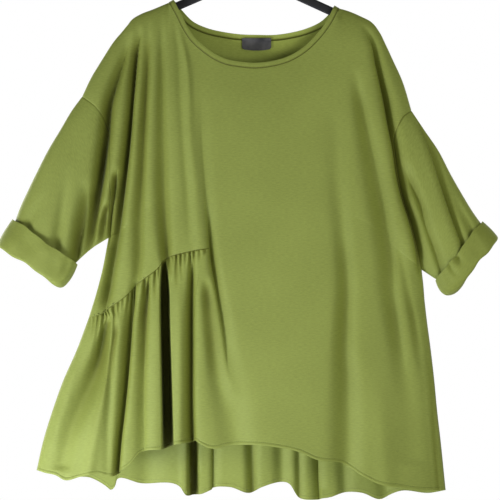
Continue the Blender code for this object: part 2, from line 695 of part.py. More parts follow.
def build():
    """The whole part: every piece of cloth as one surface cut at its seams, then the hanger."""
    cloth = material_of("jersey_green", GREEN, 0.75)
    cuff_cloth = material_of("jersey_cuff", CUFF_GREEN, 0.78)
    label = material_of("label_grey", LABEL_GREY, 0.4)
    black = material_of("hanger_black", HANGER_BLACK, 0.6)
    wire = material_of("hook_wire", STEEL, 0.35, 1.0)

    front, inset_fine, inset_coarse = front_surfaces()
    back, back_top = back_surface()
    coarse = piece_of(inset_coarse, quads_of(*inset_coarse.shape[:2]), False)
    left, left_end = sleeve_surface(
        ARMHOLE_LEFT, SLEEVE_TOP_LEFT, SLEEVE_LOW_LEFT, CUFF_LEFT[0].half_depth - CUFF_EASE, False
    )
    right, right_end = sleeve_surface(
        ARMHOLE_RIGHT, SLEEVE_TOP_RIGHT, SLEEVE_LOW_RIGHT, CUFF_RIGHT[0].half_depth - CUFF_EASE, True
    )
    left_cuff = cuff_surface(CUFF_LEFT, left_end, False)
    right_cuff = cuff_surface(CUFF_RIGHT, right_end, True)
    front_neck = line(NECK_FRONT, NECK_LEFT_SHARES + NECK_RIGHT_SHARES[1:])
    band_grid = band_surface(front_neck, line(NECK_BACK, NECK_BACK_SHARES))
    band = piece_of(band_grid, quads_of(*band_grid.shape[:2], ring=True), False)

    sewn = [front, back, left, right, left_cuff, right_cuff, band, coarse]
    normals = normals_of(sewn)
    wall("front_panel", front, normals[0], cloth)
    wall("back_panel", back, normals[1], cloth)
    wall("sleeve_left", left, normals[2], cloth, gap=SLEEVE_GAP)
    wall("sleeve_right", right, normals[3], cloth, gap=SLEEVE_GAP)
    wall("cuff_left", left_cuff, normals[4], cuff_cloth)
    wall("cuff_right", right_cuff, normals[5], cuff_cloth)
    wall("neck_band", band, normals[6], cloth, BAND_THICK, BAND_PROUD)

    fine = piece_of(inset_fine, quads_of(*inset_fine.shape[:2]), False)
    # The inset's edges take the normals that they share with the panels they are sewn to.
    facing = normals_of([fine])[0].reshape(inset_fine.shape)
    known = normals[7].reshape(inset_coarse.shape)
    facing[0] = resampled(known[0], np.arange(inset_fine.shape[1]) / GATHER_CELLS)
    facing[0] /= np.linalg.norm(facing[0], axis=1, keepdims=True)
    facing[:, 0] = known[:, 0]
    facing[:, -1] = known[:, -1]
    wall("gathered_inset", fine, facing.reshape(-1, 3), cloth)

    build_label(back_top, label)
    build_bar(black)
    build_hook(wire)


for old in list(bpy.data.objects):
    bpy.data.objects.remove(old, do_unlink=True)
build()
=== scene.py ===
# %% [markdown]
# # A jersey tunic on its hanger
#
# A wide soft tunic: front and back, two dropped sleeves turned up at the wrist, a bound neck and a
# gathered inset on the lower left, all of one viscose jersey. Its looks come from how the cloth hangs.
# These are particular folds in particular places, so each is placed one by one on a thin shell.

import collections
import math

import bpy
import numpy as np
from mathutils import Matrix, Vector


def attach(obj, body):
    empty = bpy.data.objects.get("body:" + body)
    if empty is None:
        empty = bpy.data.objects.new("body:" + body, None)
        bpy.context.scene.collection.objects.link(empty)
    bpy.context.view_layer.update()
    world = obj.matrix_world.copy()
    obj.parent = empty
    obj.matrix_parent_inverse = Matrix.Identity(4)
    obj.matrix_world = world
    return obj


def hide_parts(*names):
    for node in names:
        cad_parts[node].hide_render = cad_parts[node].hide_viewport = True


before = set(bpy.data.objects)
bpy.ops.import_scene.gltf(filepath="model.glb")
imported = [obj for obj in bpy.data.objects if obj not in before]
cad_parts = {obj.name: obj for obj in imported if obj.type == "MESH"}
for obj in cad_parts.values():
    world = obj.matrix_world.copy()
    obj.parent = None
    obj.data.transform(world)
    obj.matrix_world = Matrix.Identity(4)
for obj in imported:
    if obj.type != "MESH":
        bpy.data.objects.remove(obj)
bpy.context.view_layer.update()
MM = 0.001
print("hard and soft nodes:", ", ".join(sorted(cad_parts)))

# %% [markdown]
# ## Camera
#
# The garment is seen square on, from its own height, through a long lens from a few metres away.

# %% Camera
PICTURE_HEIGHT = 0.875
CAMERA_DISTANCE = 5.0
CAMERA_AIM = Vector((-0.007, -0.015, -0.552))
SENSOR = 36.0

camera_data = bpy.data.cameras.new("camera")
camera_data.sensor_width = SENSOR
camera_data.lens = SENSOR * CAMERA_DISTANCE / PICTURE_HEIGHT
camera = bpy.data.objects.new("camera", camera_data)
camera.location = CAMERA_AIM + Vector((0, -CAMERA_DISTANCE, 0))
camera.rotation_euler = (math.radians(90), 0, 0)
bpy.context.scene.collection.objects.link(camera)
bpy.context.scene.camera = camera
print(f"lens {camera_data.lens:.0f} mm")

# %% [markdown]
# ## Studio
#
# The light comes from the lower left: that corner of the tunic is the brightest, and every fold is
# bright on its left flank. A small light close by the hem's left corner does the first, and one far off
# at the side the second. Weak lights on the other sides keep the rest readable. The room is plain white,
# and the floor a pale disc under the hem.

# %% Studio
FLOOR_LEVEL = -1.3
FLOOR_RADIUS = 1.1
FLOOR_COLOUR = (0.86, 0.86, 0.85, 1)
ROOM_LIGHT = 0.2


def area_light(name, place, aim, size, power, colour=(1, 1, 1)):
    """A square soft light at a place, turned to an aim."""
    data = bpy.data.lights.new(name, "AREA")
    data.size = size
    data.energy = power
    data.color = colour
    light = bpy.data.objects.new(name, data)
    light.location = place
    light.rotation_euler = (Vector(aim) - Vector(place)).to_track_quat("-Z", "Y").to_euler()
    bpy.context.scene.collection.objects.link(light)


area_light("low_left", (-0.72, -0.6, -1.18), (-0.25, 0, -0.75), 0.3, 5.6, (0.96, 1, 1.55))
area_light("side", (-1.8, -1.0, -1.05), (0, 0, -0.6), 0.5, 17.5)
area_light("front", (0.85, -1.2, -0.45), (0.2, 0, -0.5), 0.7, 6.8)
area_light("back_left", (-1.5, 1.4, -0.2), (0, 0, -0.5), 0.8, 34)
area_light("back_right", (1.5, 1.8, -0.1), (0, 0, -0.5), 1.0, 14)

world = bpy.data.worlds.new("white room")
bpy.context.scene.world = world
world.use_nodes = True
nodes, links = world.node_tree.nodes, world.node_tree.links
background = nodes["Background"]
background.inputs["Color"].default_value = (1, 1, 1, 1)
seen = nodes.new("ShaderNodeLightPath")
strength = nodes.new("ShaderNodeMapRange")
strength.inputs["To Min"].default_value = ROOM_LIGHT
strength.inputs["To Max"].default_value = 1.0
links.new(seen.outputs["Is Camera Ray"], strength.inputs["Value"])
links.new(strength.outputs["Result"], background.inputs["Strength"])

bpy.context.scene.view_settings.view_transform = "Standard"
bpy.context.scene.view_settings.look = "None"

bpy.ops.mesh.primitive_cylinder_add(vertices=128, radius=FLOOR_RADIUS, depth=0.02)
floor = bpy.context.object
floor.name = "floor"
floor.location.z = FLOOR_LEVEL - 0.01
floor_paint = bpy.data.materials.new("floor paint")
floor_paint.use_nodes = True
floor_paint.node_tree.nodes["Principled BSDF"].inputs["Base Color"].default_value = FLOOR_COLOUR
floor_paint.node_tree.nodes["Principled BSDF"].inputs["Roughness"].default_value = 0.8
floor.data.materials.append(floor_paint)

# %% [markdown]
# ## Jersey
#
# Jersey is a fine knit: rows of small V-shaped loops about 0.8 mm wide, matt with a faint sheen. A group
# of maths nodes turns each piece's own UV map, in metres of cloth, into the loops' height, and two
# noises vary the colour a little, as dyed viscose does.

# %% The knit, as a shader group
KNIT_WALE = 0.00085
KNIT_COURSE = 0.00062
LOOP_LEAN = 1.1


def maths(tree, operation, first, second=None):
    """A maths node fed by sockets or numbers, and its result."""
    node = tree.nodes.new("ShaderNodeMath")
    node.operation = operation
    for socket, value in zip(node.inputs, (first, second)):
        if isinstance(value, bpy.types.NodeSocket):
            tree.links.new(value, socket)
        elif value is not None:
            socket.default_value = value
    return node.outputs[0]


def knit_group():
    """Loops of plain jersey: UV in metres goes in, and a height from 0 to 1 comes out."""
    group = bpy.data.node_groups.new("jersey loops", "ShaderNodeTree")
    for name, kind in (("UV", "Vector"), ("Wale", "Float"), ("Course", "Float")):
        group.interface.new_socket(name, in_out="INPUT", socket_type="NodeSocket" + kind)
    group.interface.new_socket("Height", in_out="OUTPUT", socket_type="NodeSocketFloat")
    given = group.nodes.new("NodeGroupInput")
    result = group.nodes.new("NodeGroupOutput")
    apart = group.nodes.new("ShaderNodeSeparateXYZ")
    group.links.new(given.outputs["UV"], apart.inputs[0])
    column = maths(group, "DIVIDE", apart.outputs["X"], given.outputs["Wale"])
    row = maths(group, "DIVIDE", apart.outputs["Y"], given.outputs["Course"])
    in_column = maths(group, "FRACT", column)
    from_middle = maths(group, "ABSOLUTE", maths(group, "SUBTRACT", in_column, 0.5))
    leaning = maths(group, "ADD", row, maths(group, "MULTIPLY", from_middle, LOOP_LEAN))
    strand = maths(group, "COSINE", maths(group, "MULTIPLY", leaning, 2 * math.pi))
    across = maths(group, "SINE", maths(group, "MULTIPLY", in_column, math.pi))
    raised = maths(group, "MULTIPLY", maths(group, "ADD", strand, 1), across)
    group.links.new(maths(group, "MULTIPLY", raised, 0.5), result.inputs["Height"])
    return group


knit = knit_group()

# %% [markdown]
# A material takes the group's height as a shallow bump. Each point of the cloth also carries a shade that
# multiplies its colour: painted shade in tight folds, in gathers and along seams, and on the reverse a
# lighter colour, partly the paler back of the knit and partly painted light that grows towards the neck.

# %% Cloth materials
JERSEY_LIGHT = (0.306, 0.362, 0.065)
JERSEY_DARK = (0.238, 0.285, 0.046)
SHEEN_TINT = (0.9, 1.0, 0.5, 1)
YARN_STREAKS = (130, 620, 1)
BROAD_PART = 0.3


def feed(tree, node, **inputs):
    """Sets a node's inputs by name, or links them where the value is another node's output."""
    for name, value in inputs.items():
        socket = node.inputs[name.replace("_", " ")]
        if isinstance(value, bpy.types.NodeSocket):
            tree.links.new(value, socket)
        else:
            socket.default_value = value


def node_of(tree, kind, **inputs):
    """A shader node, fed."""
    node = tree.nodes.new(kind)
    feed(tree, node, **inputs)
    return node


def new_material(name, **inputs):
    """A material, its tree and its shader, fed."""
    made = bpy.data.materials.new(name)
    made.use_nodes = True
    shader = made.node_tree.nodes["Principled BSDF"]
    feed(made.node_tree, shader, **inputs)
    return made, made.node_tree, shader


def place_in(tree, space):
    """The point that is shaded, as its UV or in the object's own coordinates."""
    return tree.nodes.new("ShaderNodeTexCoord").outputs[space]


def noise(tree, **inputs):
    """A noise on the object's own coordinates."""
    return node_of(tree, "ShaderNodeTexNoise", Vector=place_in(tree, "Object"), **inputs).outputs["Fac"]


def between(tree, share, dark, light, low=0.0, high=1.0):
    """A colour between two, by a share."""
    ramp = tree.nodes.new("ShaderNodeValToRGB")
    for stop, place, colour in zip(ramp.color_ramp.elements, (low, high), (dark, light)):
        stop.position = place
        stop.color = (*colour, 1)
    tree.links.new(share, ramp.inputs["Fac"])
    return ramp.outputs["Color"]


def varied(tree, share, colour, by):
    """A colour made darker and lighter, by a share."""
    dark, light = ([factor * value for value in colour] for factor in (1 - by, 1 + by))
    return between(tree, share, dark, light)


def embossed(tree, shader, height, strength, distance):
    """Gives a shader a bump."""
    bump = node_of(tree, "ShaderNodeBump", Strength=strength, Distance=distance, Height=height)
    feed(tree, shader, Normal=bump.outputs["Normal"])


def jersey(name):
    """Dyed viscose jersey: mottled colour under a painted shade, loops in its bump and a faint sheen."""
    made, tree, shader = new_material(
        name, Roughness=0.7, Sheen_Weight=0.13, Sheen_Roughness=0.4, Sheen_Tint=SHEEN_TINT,
        Specular_IOR_Level=0.35,
    )
    cloth_place = place_in(tree, "UV")
    streaks = node_of(tree, "ShaderNodeMapping", Scale=YARN_STREAKS, Vector=cloth_place).outputs["Vector"]
    fine = node_of(tree, "ShaderNodeTexNoise", Vector=streaks, Scale=1.0, Detail=3.0, Roughness=0.7)
    broad_part = maths(tree, "MULTIPLY", noise(tree, Scale=9.0, Detail=3.0), BROAD_PART)
    fine_part = maths(tree, "MULTIPLY", fine.outputs["Fac"], 1 - BROAD_PART)
    both_parts = maths(tree, "ADD", broad_part, fine_part)
    mottled = between(tree, both_parts, JERSEY_DARK, JERSEY_LIGHT, 0.36, 0.64)
    # Each point's painted shade and painted light multiply the mottled colour
    shade = tree.nodes.new("ShaderNodeVertexColor")
    shade.layer_name = "shade"
    shaded = tree.nodes.new("ShaderNodeMix")
    shaded.data_type = "RGBA"
    shaded.blend_type = "MULTIPLY"
    shaded.inputs[0].default_value = 1.0
    tree.links.new(mottled, shaded.inputs[6])
    tree.links.new(shade.outputs["Color"], shaded.inputs[7])
    feed(tree, shader, Base_Color=shaded.outputs[2])
    loops = tree.nodes.new("ShaderNodeGroup")
    loops.node_tree = knit
    feed(tree, loops, UV=cloth_place, Wale=KNIT_WALE, Course=KNIT_COURSE)
    embossed(tree, shader, loops.outputs["Height"], 0.35, 0.00018)
    return made


jersey_green = jersey("olive jersey")

# %% [markdown]
# ## Lines of the garment
#
# The edges and seams are drawn flat, in millimetres across from the hanger's middle and down from the
# highest point of the collar, with a smooth curve through the rows of each line. A patch fills the space
# between four lines with a grid, and a second step lifts the grid off the hanger's plane.

# %% Lines of the garment
HOOK_TO_COLLAR = 118.0
SHOULDER_LEFT = [
    (-301, 166), (-287, 136), (-266, 101), (-243, 66), (-231, 52), (-222, 41), (-213, 30), (-200, 22),
    (-175, 12), (-149, 1),
]
SHOULDER_RIGHT = [
    (149, 11), (163, 15), (187, 25), (207, 36), (220, 53), (231, 75), (243, 101), (259, 136), (276, 191),
]
NECK_FRONT = [
    (-149, 1), (-136, 25), (-124, 49), (-112, 67), (-94, 84), (-73, 99), (-51, 109), (-24, 114), (3, 116),
    (31, 113), (63, 104), (89, 89), (112, 68), (135, 38), (149, 11),
]
NECK_BACK = [
    (-149, 1), (-133, 21), (-112, 42), (-84, 55), (-54, 62), (-24, 66), (5, 67), (37, 67), (66, 63),
    (96, 55), (124, 41), (140, 25), (149, 11),
]
ARMHOLE_LEFT = [
    (-301, 166), (-276, 185), (-266, 198), (-257, 219), (-249, 236), (-247, 259), (-248, 303),
    (-250, 346), (-252, 381), (-255, 413),
]
ARMHOLE_RIGHT = [
    (276, 191), (262, 201), (255, 213), (248, 227), (244, 241), (246, 259), (252, 303), (262, 346),
    (276, 390), (287, 434), (294, 469),
]
SIDE_LEFT_HIGH = [(-255, 413), (-259, 434), (-266, 469), (-275, 504), (-290, 553)]
SIDE_LEFT_LOW = [(-290, 553), (-311, 609), (-334, 661), (-353, 714), (-369, 766), (-381, 819)]
SIDE_RIGHT_HIGH = [(294, 469), (297, 495), (299, 521)]
SIDE_RIGHT_LOW = [
    (299, 521), (303, 556), (310, 609), (316, 661), (321, 714), (327, 766), (336, 854),
]
GATHER_SEAM = [
    (-290, 553), (-275, 548), (-257, 541), (-243, 530), (-226, 516), (-208, 499), (-187, 481),
    (-168, 465), (-156, 451), (-143, 444), (-121, 438), (-103, 434), (-80, 430),
]
SEAM_LEVEL_RIGHT = [(-80, 430), (-25, 436), (80, 455), (186, 478), (299, 521)]
INSET_SEAM = [(-80, 430), (-92, 452), (-99, 500), (-102, 590), (-101, 696), (-99, 767)]
HEM_INSET = [
    (-381, 819), (-366, 824), (-348, 828), (-331, 837), (-304, 831), (-278, 826), (-247, 830),
    (-234, 824), (-222, 815), (-198, 789), (-159, 782), (-140, 775), (-121, 772), (-99, 767),
]
HEM_FRONT = [
    (-99, 767), (-86, 778), (-72, 782), (-42, 776), (-7, 775), (37, 779), (80, 788), (112, 802),
    (156, 808), (189, 829), (222, 845), (255, 850), (290, 855), (336, 854),
]
HEM_BACK = [
    (-381, 819), (-366, 824), (-348, 828), (-331, 837), (-304, 831), (-288, 832), (-272, 839),
    (-258, 848), (-250, 854), (-244, 849), (-240, 836), (-199, 842), (-129, 849), (-117, 864),
    (-107, 862), (-92, 861), (-72, 850), (-42, 849), (-7, 859), (14, 849), (60, 842), (80, 868),
    (108, 871), (133, 867), (159, 858), (189, 859), (222, 870), (240, 861), (254, 856), (308, 859),
    (336, 854),
]
SLEEVE_TOP_LEFT = [
    (-301, 166), (-318, 189), (-339, 224), (-360, 259), (-378, 294), (-395, 329), (-411, 364),
    (-420, 390),
]
SLEEVE_LOW_LEFT = [(-255, 413), (-282, 430), (-304, 449), (-319, 464)]
SLEEVE_TOP_RIGHT = [
    (276, 191), (298, 224), (322, 259), (345, 303), (365, 338), (384, 369), (402, 394),
]
SLEEVE_LOW_RIGHT = [(294, 469), (303, 475), (315, 483), (327, 490)]


def line(table, shares):
    """Points at shares of the length of a smooth line through the rows of a table."""
    knots = np.array(table, float)
    steps = np.linalg.norm(np.diff(knots, axis=0), axis=1)
    at = np.concatenate([[0.0], np.cumsum(steps)]) / steps.sum()
    return through(knots, at, np.clip(shares, 0, 1))


def through(knots, at, wanted):
    """Smooth values between knots that stand at rising places, at the places wanted."""
    slopes = np.gradient(knots, at, axis=0)
    wanted = np.clip(np.asarray(wanted, float), at[0], at[-1])
    i = np.clip(np.searchsorted(at, wanted, side="right") - 1, 0, len(at) - 2)
    span = (at[i + 1] - at[i])[..., None]
    f = (wanted - at[i])[..., None] / span
    start = (2 * f**3 - 3 * f**2 + 1) * knots[i] + (f**3 - 2 * f**2 + f) * span * slopes[i]
    end = (3 * f**2 - 2 * f**3) * knots[i + 1] + (f**3 - f**2) * span * slopes[i + 1]
    return start + end


def joined(*lines):
    """Lines that follow on from each other, as one."""
    return np.concatenate([lines[0]] + [part[1:] for part in lines[1:]])


# %% [markdown]
# ## Folds
#
# A fold is a trough pushed into the cloth along a path, and a negative depth is a ridge. Each row is a
# station on the path. Deep folds do not lie open: the cloth of one side laps over the trough, so they
# show as a bright edge beside a dark line, which painted shade darkens further. A fold's lap says how far,
# below 0 from the left and above 0 from the right, and its square is higher where a trough has upright
# walls.

# %% Folds of the front
# A station's columns are across, down, width and depth
Fold = collections.namedtuple("Fold", "lap stations square", defaults=(2,))

LEFT_YOKE_FOLDS = [
    # The long crease from the hanger's left corner
    Fold(0.6, [(-201, 40, 7, 0), (-208, 101, 8, 19), (-215, 171, 9, 22), (-221, 241, 10, 27),
        (-229, 311, 11, 32), (-239, 381, 12, 38), (-252, 451, 14, 46), (-261, 504, 14, 42),
        (-270, 550, 12, 0)]),
    # The narrower one beside it, to the right
    Fold(0.2, [(-186, 30, 6, 0), (-189, 101, 6, 9), (-193, 171, 7, 12), (-197, 241, 8, 13),
        (-201, 311, 9, 14), (-206, 381, 11, 16), (-207, 451, 11, 15), (-211, 500, 9, 8),
        (-214, 535, 8, 0)]),
    # The soft trough above the inset's gap
    Fold(0.1, [(-163, 22, 6, 0), (-165, 101, 7, 7), (-166, 171, 9, 10), (-166, 241, 11, 12),
        (-166, 311, 12, 15), (-163, 381, 12, 17), (-158, 440, 10, 16), (-155, 470, 8, 10),
        (-155, 500, 8, 0)]),
    # The gap itself, with upright walls
    Fold(0, [(-158, 450, 3.0, 0), (-157.5, 466, 5, 24), (-156.5, 490, 7, 40), (-155.5, 560, 8.0, 50),
        (-153.5, 640, 8.3, 56), (-151.5, 720, 8.6, 58), (-150, 800, 9, 58)], square=8),
    # The ridge from the neck point, with a shallow trough on its left
    Fold(0, [(-143, 12, 5, 0), (-122, 101, 6, -4), (-116, 241, 8, -4), (-109, 320, 9, -4),
        (-101, 420, 9, -3), (-98, 460, 9, 0)]),
    Fold(0, [(-141, 12, 5, 0), (-136, 80, 7, 3), (-132, 171, 8, 3), (-127, 241, 8, 3), (-120, 340, 9, 4),
        (-116, 434, 9, 0)]),
    # The trough right of the ridge, sharp below the end of the gathers
    Fold(-0.5, [(-93, 150, 10, 0), (-91, 241, 11, 3), (-86, 311, 11, 4), (-82, 365, 10, 6),
        (-80, 390, 9, 9), (-75, 451, 9, 14), (-66, 504, 10, 13), (-57, 556, 12, 12), (-49, 609, 14, 8),
        (-40, 690, 18, 0)]),
    Fold(0, [(-40, 640, 16, 0), (-36, 714, 20, 5), (-34, 800, 22, 5)]),
    Fold(0, [(-88, 480, 5, 0), (-87, 504, 6, 8), (-83, 556, 8, 10), (-78, 609, 9, 11), (-71, 661, 14, 10),
        (-60, 714, 22, 9), (-54, 758, 24, 8), (-52, 800, 24, 6)]),
]
LEFT_SLEEVE_FOLDS = [
    # Between sleeve and body
    Fold(0.35, [(-219, 52, 9, 0), (-233, 101, 11, 15), (-246, 140, 13, 22), (-255, 171, 13, 26),
        (-263, 241, 13, 31), (-272, 311, 12, 36), (-281, 381, 9, 36), (-289, 420, 9, 28),
        (-299, 456, 9, 10)]),
    # The body's side laps over the sleeve at the underarm
    Fold(0.8, [(-242, 290, 5, 0), (-243, 311, 6, 14), (-248, 350, 7, 20), (-252, 381, 7, 27),
        (-256, 410, 7, 20), (-262, 440, 7, 0)]),
    Fold(0.3, [(-257, 345, 6, 0), (-264, 381, 7, 27), (-270, 415, 7, 22), (-276, 440, 7, 6)]),
    # Above the cuff
    Fold(0.3, [(-296, 310, 10, 0), (-300, 350, 12, 15), (-306, 390, 13, 24), (-312, 425, 11, 28),
        (-317, 455, 9, 26)]),
    Fold(0, [(-332, 290, 10, 0), (-339, 350, 10, 5), (-345, 391, 10, 8), (-352, 427, 9, 8),
        (-356, 445, 8, 6)]),
    Fold(0, [(-372, 335, 9, 0), (-392, 370, 9, 4), (-401, 392, 8, 6)]),
]
RIGHT_FOLDS = [
    # The body laps over the right sleeve, from the hanger's right corner to the underarm
    Fold(-0.9, [(192, 38, 8, 0), (208, 75, 10, 13), (213, 101, 11, 18), (219, 128, 11, 20),
        (228, 171, 12, 24), (236, 215, 12, 24), (245, 259, 12, 24), (252, 303, 12, 24),
        (262, 346, 11, 24), (276, 390, 11, 25), (287, 434, 10, 25), (293, 469, 9, 14)]),
    # Two long soft troughs down the right side
    Fold(0.1, [(173, 115, 9, 0), (180, 171, 11, 10), (192, 241, 14, 14), (205, 311, 17, 17),
        (218, 381, 17, 19), (229, 451, 17, 19), (232, 504, 15, 15), (240, 556, 14, 15),
        (248, 609, 14, 12), (255, 661, 18, 8), (262, 720, 22, 6), (268, 800, 22, 5)]),
    Fold(0, [(130, 180, 16, 0), (136, 241, 16, 3), (138, 311, 16, 5), (146, 381, 14, 7),
        (152, 451, 13, 12), (154, 504, 13, 14), (152, 556, 14, 16), (150, 609, 15, 16),
        (152, 661, 18, 17), (152, 714, 20, 17), (152, 758, 21, 17), (151, 860, 21, 16)]),
    Fold(0, [(251, 400, 7, 0), (257, 451, 7, 5), (266, 504, 7, 6), (276, 556, 6, 8), (284, 609, 6, 5),
        (290, 650, 6, 0)]),
    # On the sleeve
    Fold(-0.3, [(260, 275, 8, 0), (272, 315, 9, 11), (287, 352, 9, 12), (300, 395, 9, 10),
        (314, 434, 9, 11), (329, 477, 8, 10)]),
    Fold(-0.9, [(283, 190, 7, 0), (297, 222, 9, 17), (310, 256, 10, 17), (323, 300, 11, 16),
        (337, 346, 11, 16), (352, 390, 11, 15), (366, 429, 10, 12), (372, 450, 9, 6)]),
    Fold(0, [(340, 300, 8, 0), (352, 350, 9, 6), (366, 380, 9, 8), (378, 404, 8, 8)]),
    # The lower right: a low ridge down to the hem's corner, and the crease of the side seam
    Fold(0, [(205, 640, 18, 0), (216, 740, 18, -4), (224, 850, 18, -5)]),
    Fold(0, [(299, 590, 3, 0), (308, 661, 3, 5), (313, 740, 3, 6), (321, 860, 3, 6)]),
]
INSET_FOLDS = [
    Fold(0.8, [(-207, 485, 6, 0), (-210, 502, 8, 13), (-212, 520, 10, 19), (-217, 556, 12, 25),
        (-221, 609, 12, 29), (-225, 661, 11, 28), (-230, 714, 10, 25), (-235, 758, 9, 24),
        (-241, 830, 9, 24)]),
    Fold(0.4, [(-187, 478, 4, 0), (-188, 504, 5, 16), (-193, 556, 8, 16), (-196, 609, 9, 15),
        (-199, 661, 11, 14), (-200, 714, 12, 13), (-200, 758, 13, 12), (-200, 830, 13, 10)]),
    Fold(0.3, [(-111, 440, 5, 0), (-111, 470, 6, 10), (-113, 522, 8, 16), (-114, 609, 9, 18),
        (-114, 696, 9, 18), (-113, 766, 10, 20)]),
    Fold(0, [(-258, 548, 6, 0), (-264, 575, 8, 27), (-273, 609, 13, 37), (-292, 661, 20, 34),
        (-315, 714, 19, 25), (-331, 758, 16, 17), (-343, 810, 15, 12)]),
    Fold(0, [(-243, 552, 4, 0), (-245, 575, 5, 9), (-250, 609, 5, 10), (-254, 655, 6, 6),
        (-258, 714, 7, 4), (-261, 830, 8, 4)]),
    # Ridges that catch the light
    Fold(0, [(-247, 556, 6, 0), (-252, 580, 7, -5), (-257, 609, 8, -9), (-265, 661, 9, -11),
        (-275, 714, 11, -10), (-284, 758, 12, -9), (-297, 830, 12, -9)]),
    Fold(0, [(-312, 622, 7, 0), (-324, 661, 8, -5), (-334, 696, 9, -6), (-346, 731, 9, -6),
        (-356, 775, 9, -3)]),
    Fold(0, [(-176, 470, 9, 0), (-176, 600, 12, -5), (-177, 790, 13, -6)]),
    Fold(0, [(-136, 470, 7, 0), (-135, 600, 9, -4), (-136, 790, 9, -4)]),
]

# %% [markdown]
# ## Gathers
#
# The inset's top edge was drawn up on a thread, and it stands in small uneven folds that start at the
# seam. About half die out within three or four centimetres, and the others run on. A row for each gather
# gives where it starts, how far it drifts to the right as it falls, its length, width and depth.

# %% Gathers
GATHERS = [
    (-286, -4, 20, 2.2, 3.6), (-279, -5, 30, 2.4, 5.2), (-272, -6, 46, 2.8, 6.6),
    (-263, -8, 66, 3.2, 7.6), (-256, -7, 36, 2.4, 5.2), (-250, -4, 22, 2.0, 3.4),
    (-242, -6, 52, 2.8, 5.6), (-235, -4, 24, 2.2, 3.4), (-228, -2, 16, 2.0, 2.6),
    (-219, -3, 34, 2.4, 3.8), (-213, -2, 56, 2.6, 4.6), (-206, -2, 32, 2.2, 4.0),
    (-199, -1, 18, 2.0, 2.6), (-190, -2, 70, 2.8, 5.0), (-182, -1, 26, 2.2, 3.0), (-173, 0, 44, 2.4, 3.6),
    (-166, 0, 18, 2.0, 2.4), (-147, 1, 26, 2.2, 3.2), (-141, 1, 18, 2.0, 2.6), (-135, 0, 48, 2.6, 4.2),
    (-128, 0, 34, 2.2, 3.6), (-120, 1, 18, 2.0, 2.4), (-112, 1, 44, 2.4, 4.0), (-105, 1, 30, 2.2, 3.6),
    (-96, 2, 20, 2.0, 2.4), (-89, 2, 26, 2.2, 2.6),
]
GATHER_PEAK = 3.0
GATHER_REACH = 1.35
GATHER_DEPTH = 1.2
GATHER_AT_SEAM = 0.45
# The gathers flatten out towards the end of their seam
GATHER_END = 4.0
# They widen from the first of these shares of their width by the second
GATHER_WIDTHS = (0.75, 0.9)
# Between two gathers the cloth bulges out by a share of their depth, at so many widths from each
BULGE = 0.22
BULGE_PLACE = 1.8
# Painted shade: gathers as deep as this are darkened fully, and so is the seam's groove
TIGHT_GATHER = 4.0
SEAM_GROOVE = 1.3
SEAM_GROOVE_WIDTH = 1.6


def eased(share):
    """From 0 to 1, level at both ends."""
    share = np.clip(share, 0, 1)
    return share * share * (3 - 2 * share)


def gather_push(across, down, seam):
    """How far the gathers push the cloth in below the seam, and a little out between them, and how much
    painted shade their creases and the seam's groove get."""
    below = down - np.interp(across, seam[:, 0], seam[:, 1])
    push = np.zeros_like(across)
    painted_darkening = np.zeros_like(across)
    for start, drift, length, width, depth in GATHERS:
        share = np.clip(below / length / GATHER_REACH, 0, 1)
        fallen = GATHER_AT_SEAM + (1 - GATHER_AT_SEAM) * eased(below / GATHER_PEAK)
        strength = fallen * (1 - share) ** 1.2 * (below > 0)
        widened = width * (GATHER_WIDTHS[0] + GATHER_WIDTHS[1] * share)
        off = (across - start - drift * share) / widened
        bulge = BULGE * np.exp(-((np.abs(off) - BULGE_PLACE) ** 2) * 2)
        push += GATHER_DEPTH * depth * strength * (np.exp(-off**2) - bulge)
        painted_darkening = np.maximum(painted_darkening, min(depth / TIGHT_GATHER, 1) * strength * np.exp(-off**2))
    groove = np.exp(-((below / SEAM_GROOVE_WIDTH) ** 2))
    return push + SEAM_GROOVE * groove, np.maximum(painted_darkening, groove)


# %% [markdown]
# The back has folds of its own. They show under the front's hem, as the deep waves of a full skirt.

# %% Folds of the back
BACK_FOLDS = [
    Fold(0.3, [(-204, 50, 9, 0), (-214, 171, 12, 8), (-222, 259, 14, 9), (-240, 434, 16, 9),
        (-262, 620, 18, 0)]),
    Fold(-0.4, [(-250, 110, 12, 0), (-262, 230, 13, 9), (-270, 300, 13, 11), (-284, 390, 12, 10),
        (-298, 450, 10, 4)]),
    Fold(0, [(-330, 280, 11, 0), (-344, 370, 11, 7), (-355, 440, 9, 6)]),
    Fold(0.5, [(205, 60, 9, 0), (219, 140, 12, 8), (236, 215, 14, 10), (252, 303, 14, 10),
        (276, 400, 12, 8), (292, 466, 10, 2)]),
    Fold(0, [(285, 210, 9, 0), (318, 300, 12, 8), (345, 390, 11, 8), (366, 430, 9, 5)]),
    Fold(0, [(-150, 300, 18, 0), (-175, 520, 20, -7), (-200, 870, 20, -10)]),
    # The deep wave beside the inset's right edge, dark with painted shade
    Fold(0, [(-98, 330, 14, 0), (-104, 560, 11, -12), (-106, 740, 9, -20), (-106, 870, 8.5, -22)],
        square=6),
    Fold(0, [(-127, 700, 8, 0), (-124, 790, 7, 7), (-123, 870, 7, 9)]),
    Fold(-0.5, [(-62, 500, 10, 0), (-70, 700, 8, -6), (-73, 870, 7, -9)]),
    Fold(0, [(-15, 330, 14, 0), (-12, 600, 12, -8), (-7, 870, 8, -13)]),
    Fold(0, [(35, 330, 13, 0), (40, 600, 13, -7), (43, 870, 12, -9)]),
    Fold(0, [(70, 500, 9, 0), (74, 700, 8, -5), (76, 870, 6, -8)]),
    Fold(0.9, [(95, 400, 12, 0), (107, 650, 11, -10), (111, 870, 9, -13)]),
    Fold(0, [(130, 330, 14, 0), (146, 600, 13, -7), (154, 870, 11, -10)]),
    Fold(0, [(185, 250, 18, 0), (213, 560, 18, -8), (224, 870, 14, -9)]),
    Fold(0, [(-45, 90, 20, 0), (-38, 260, 24, 3), (-30, 420, 24, 0)]),
]
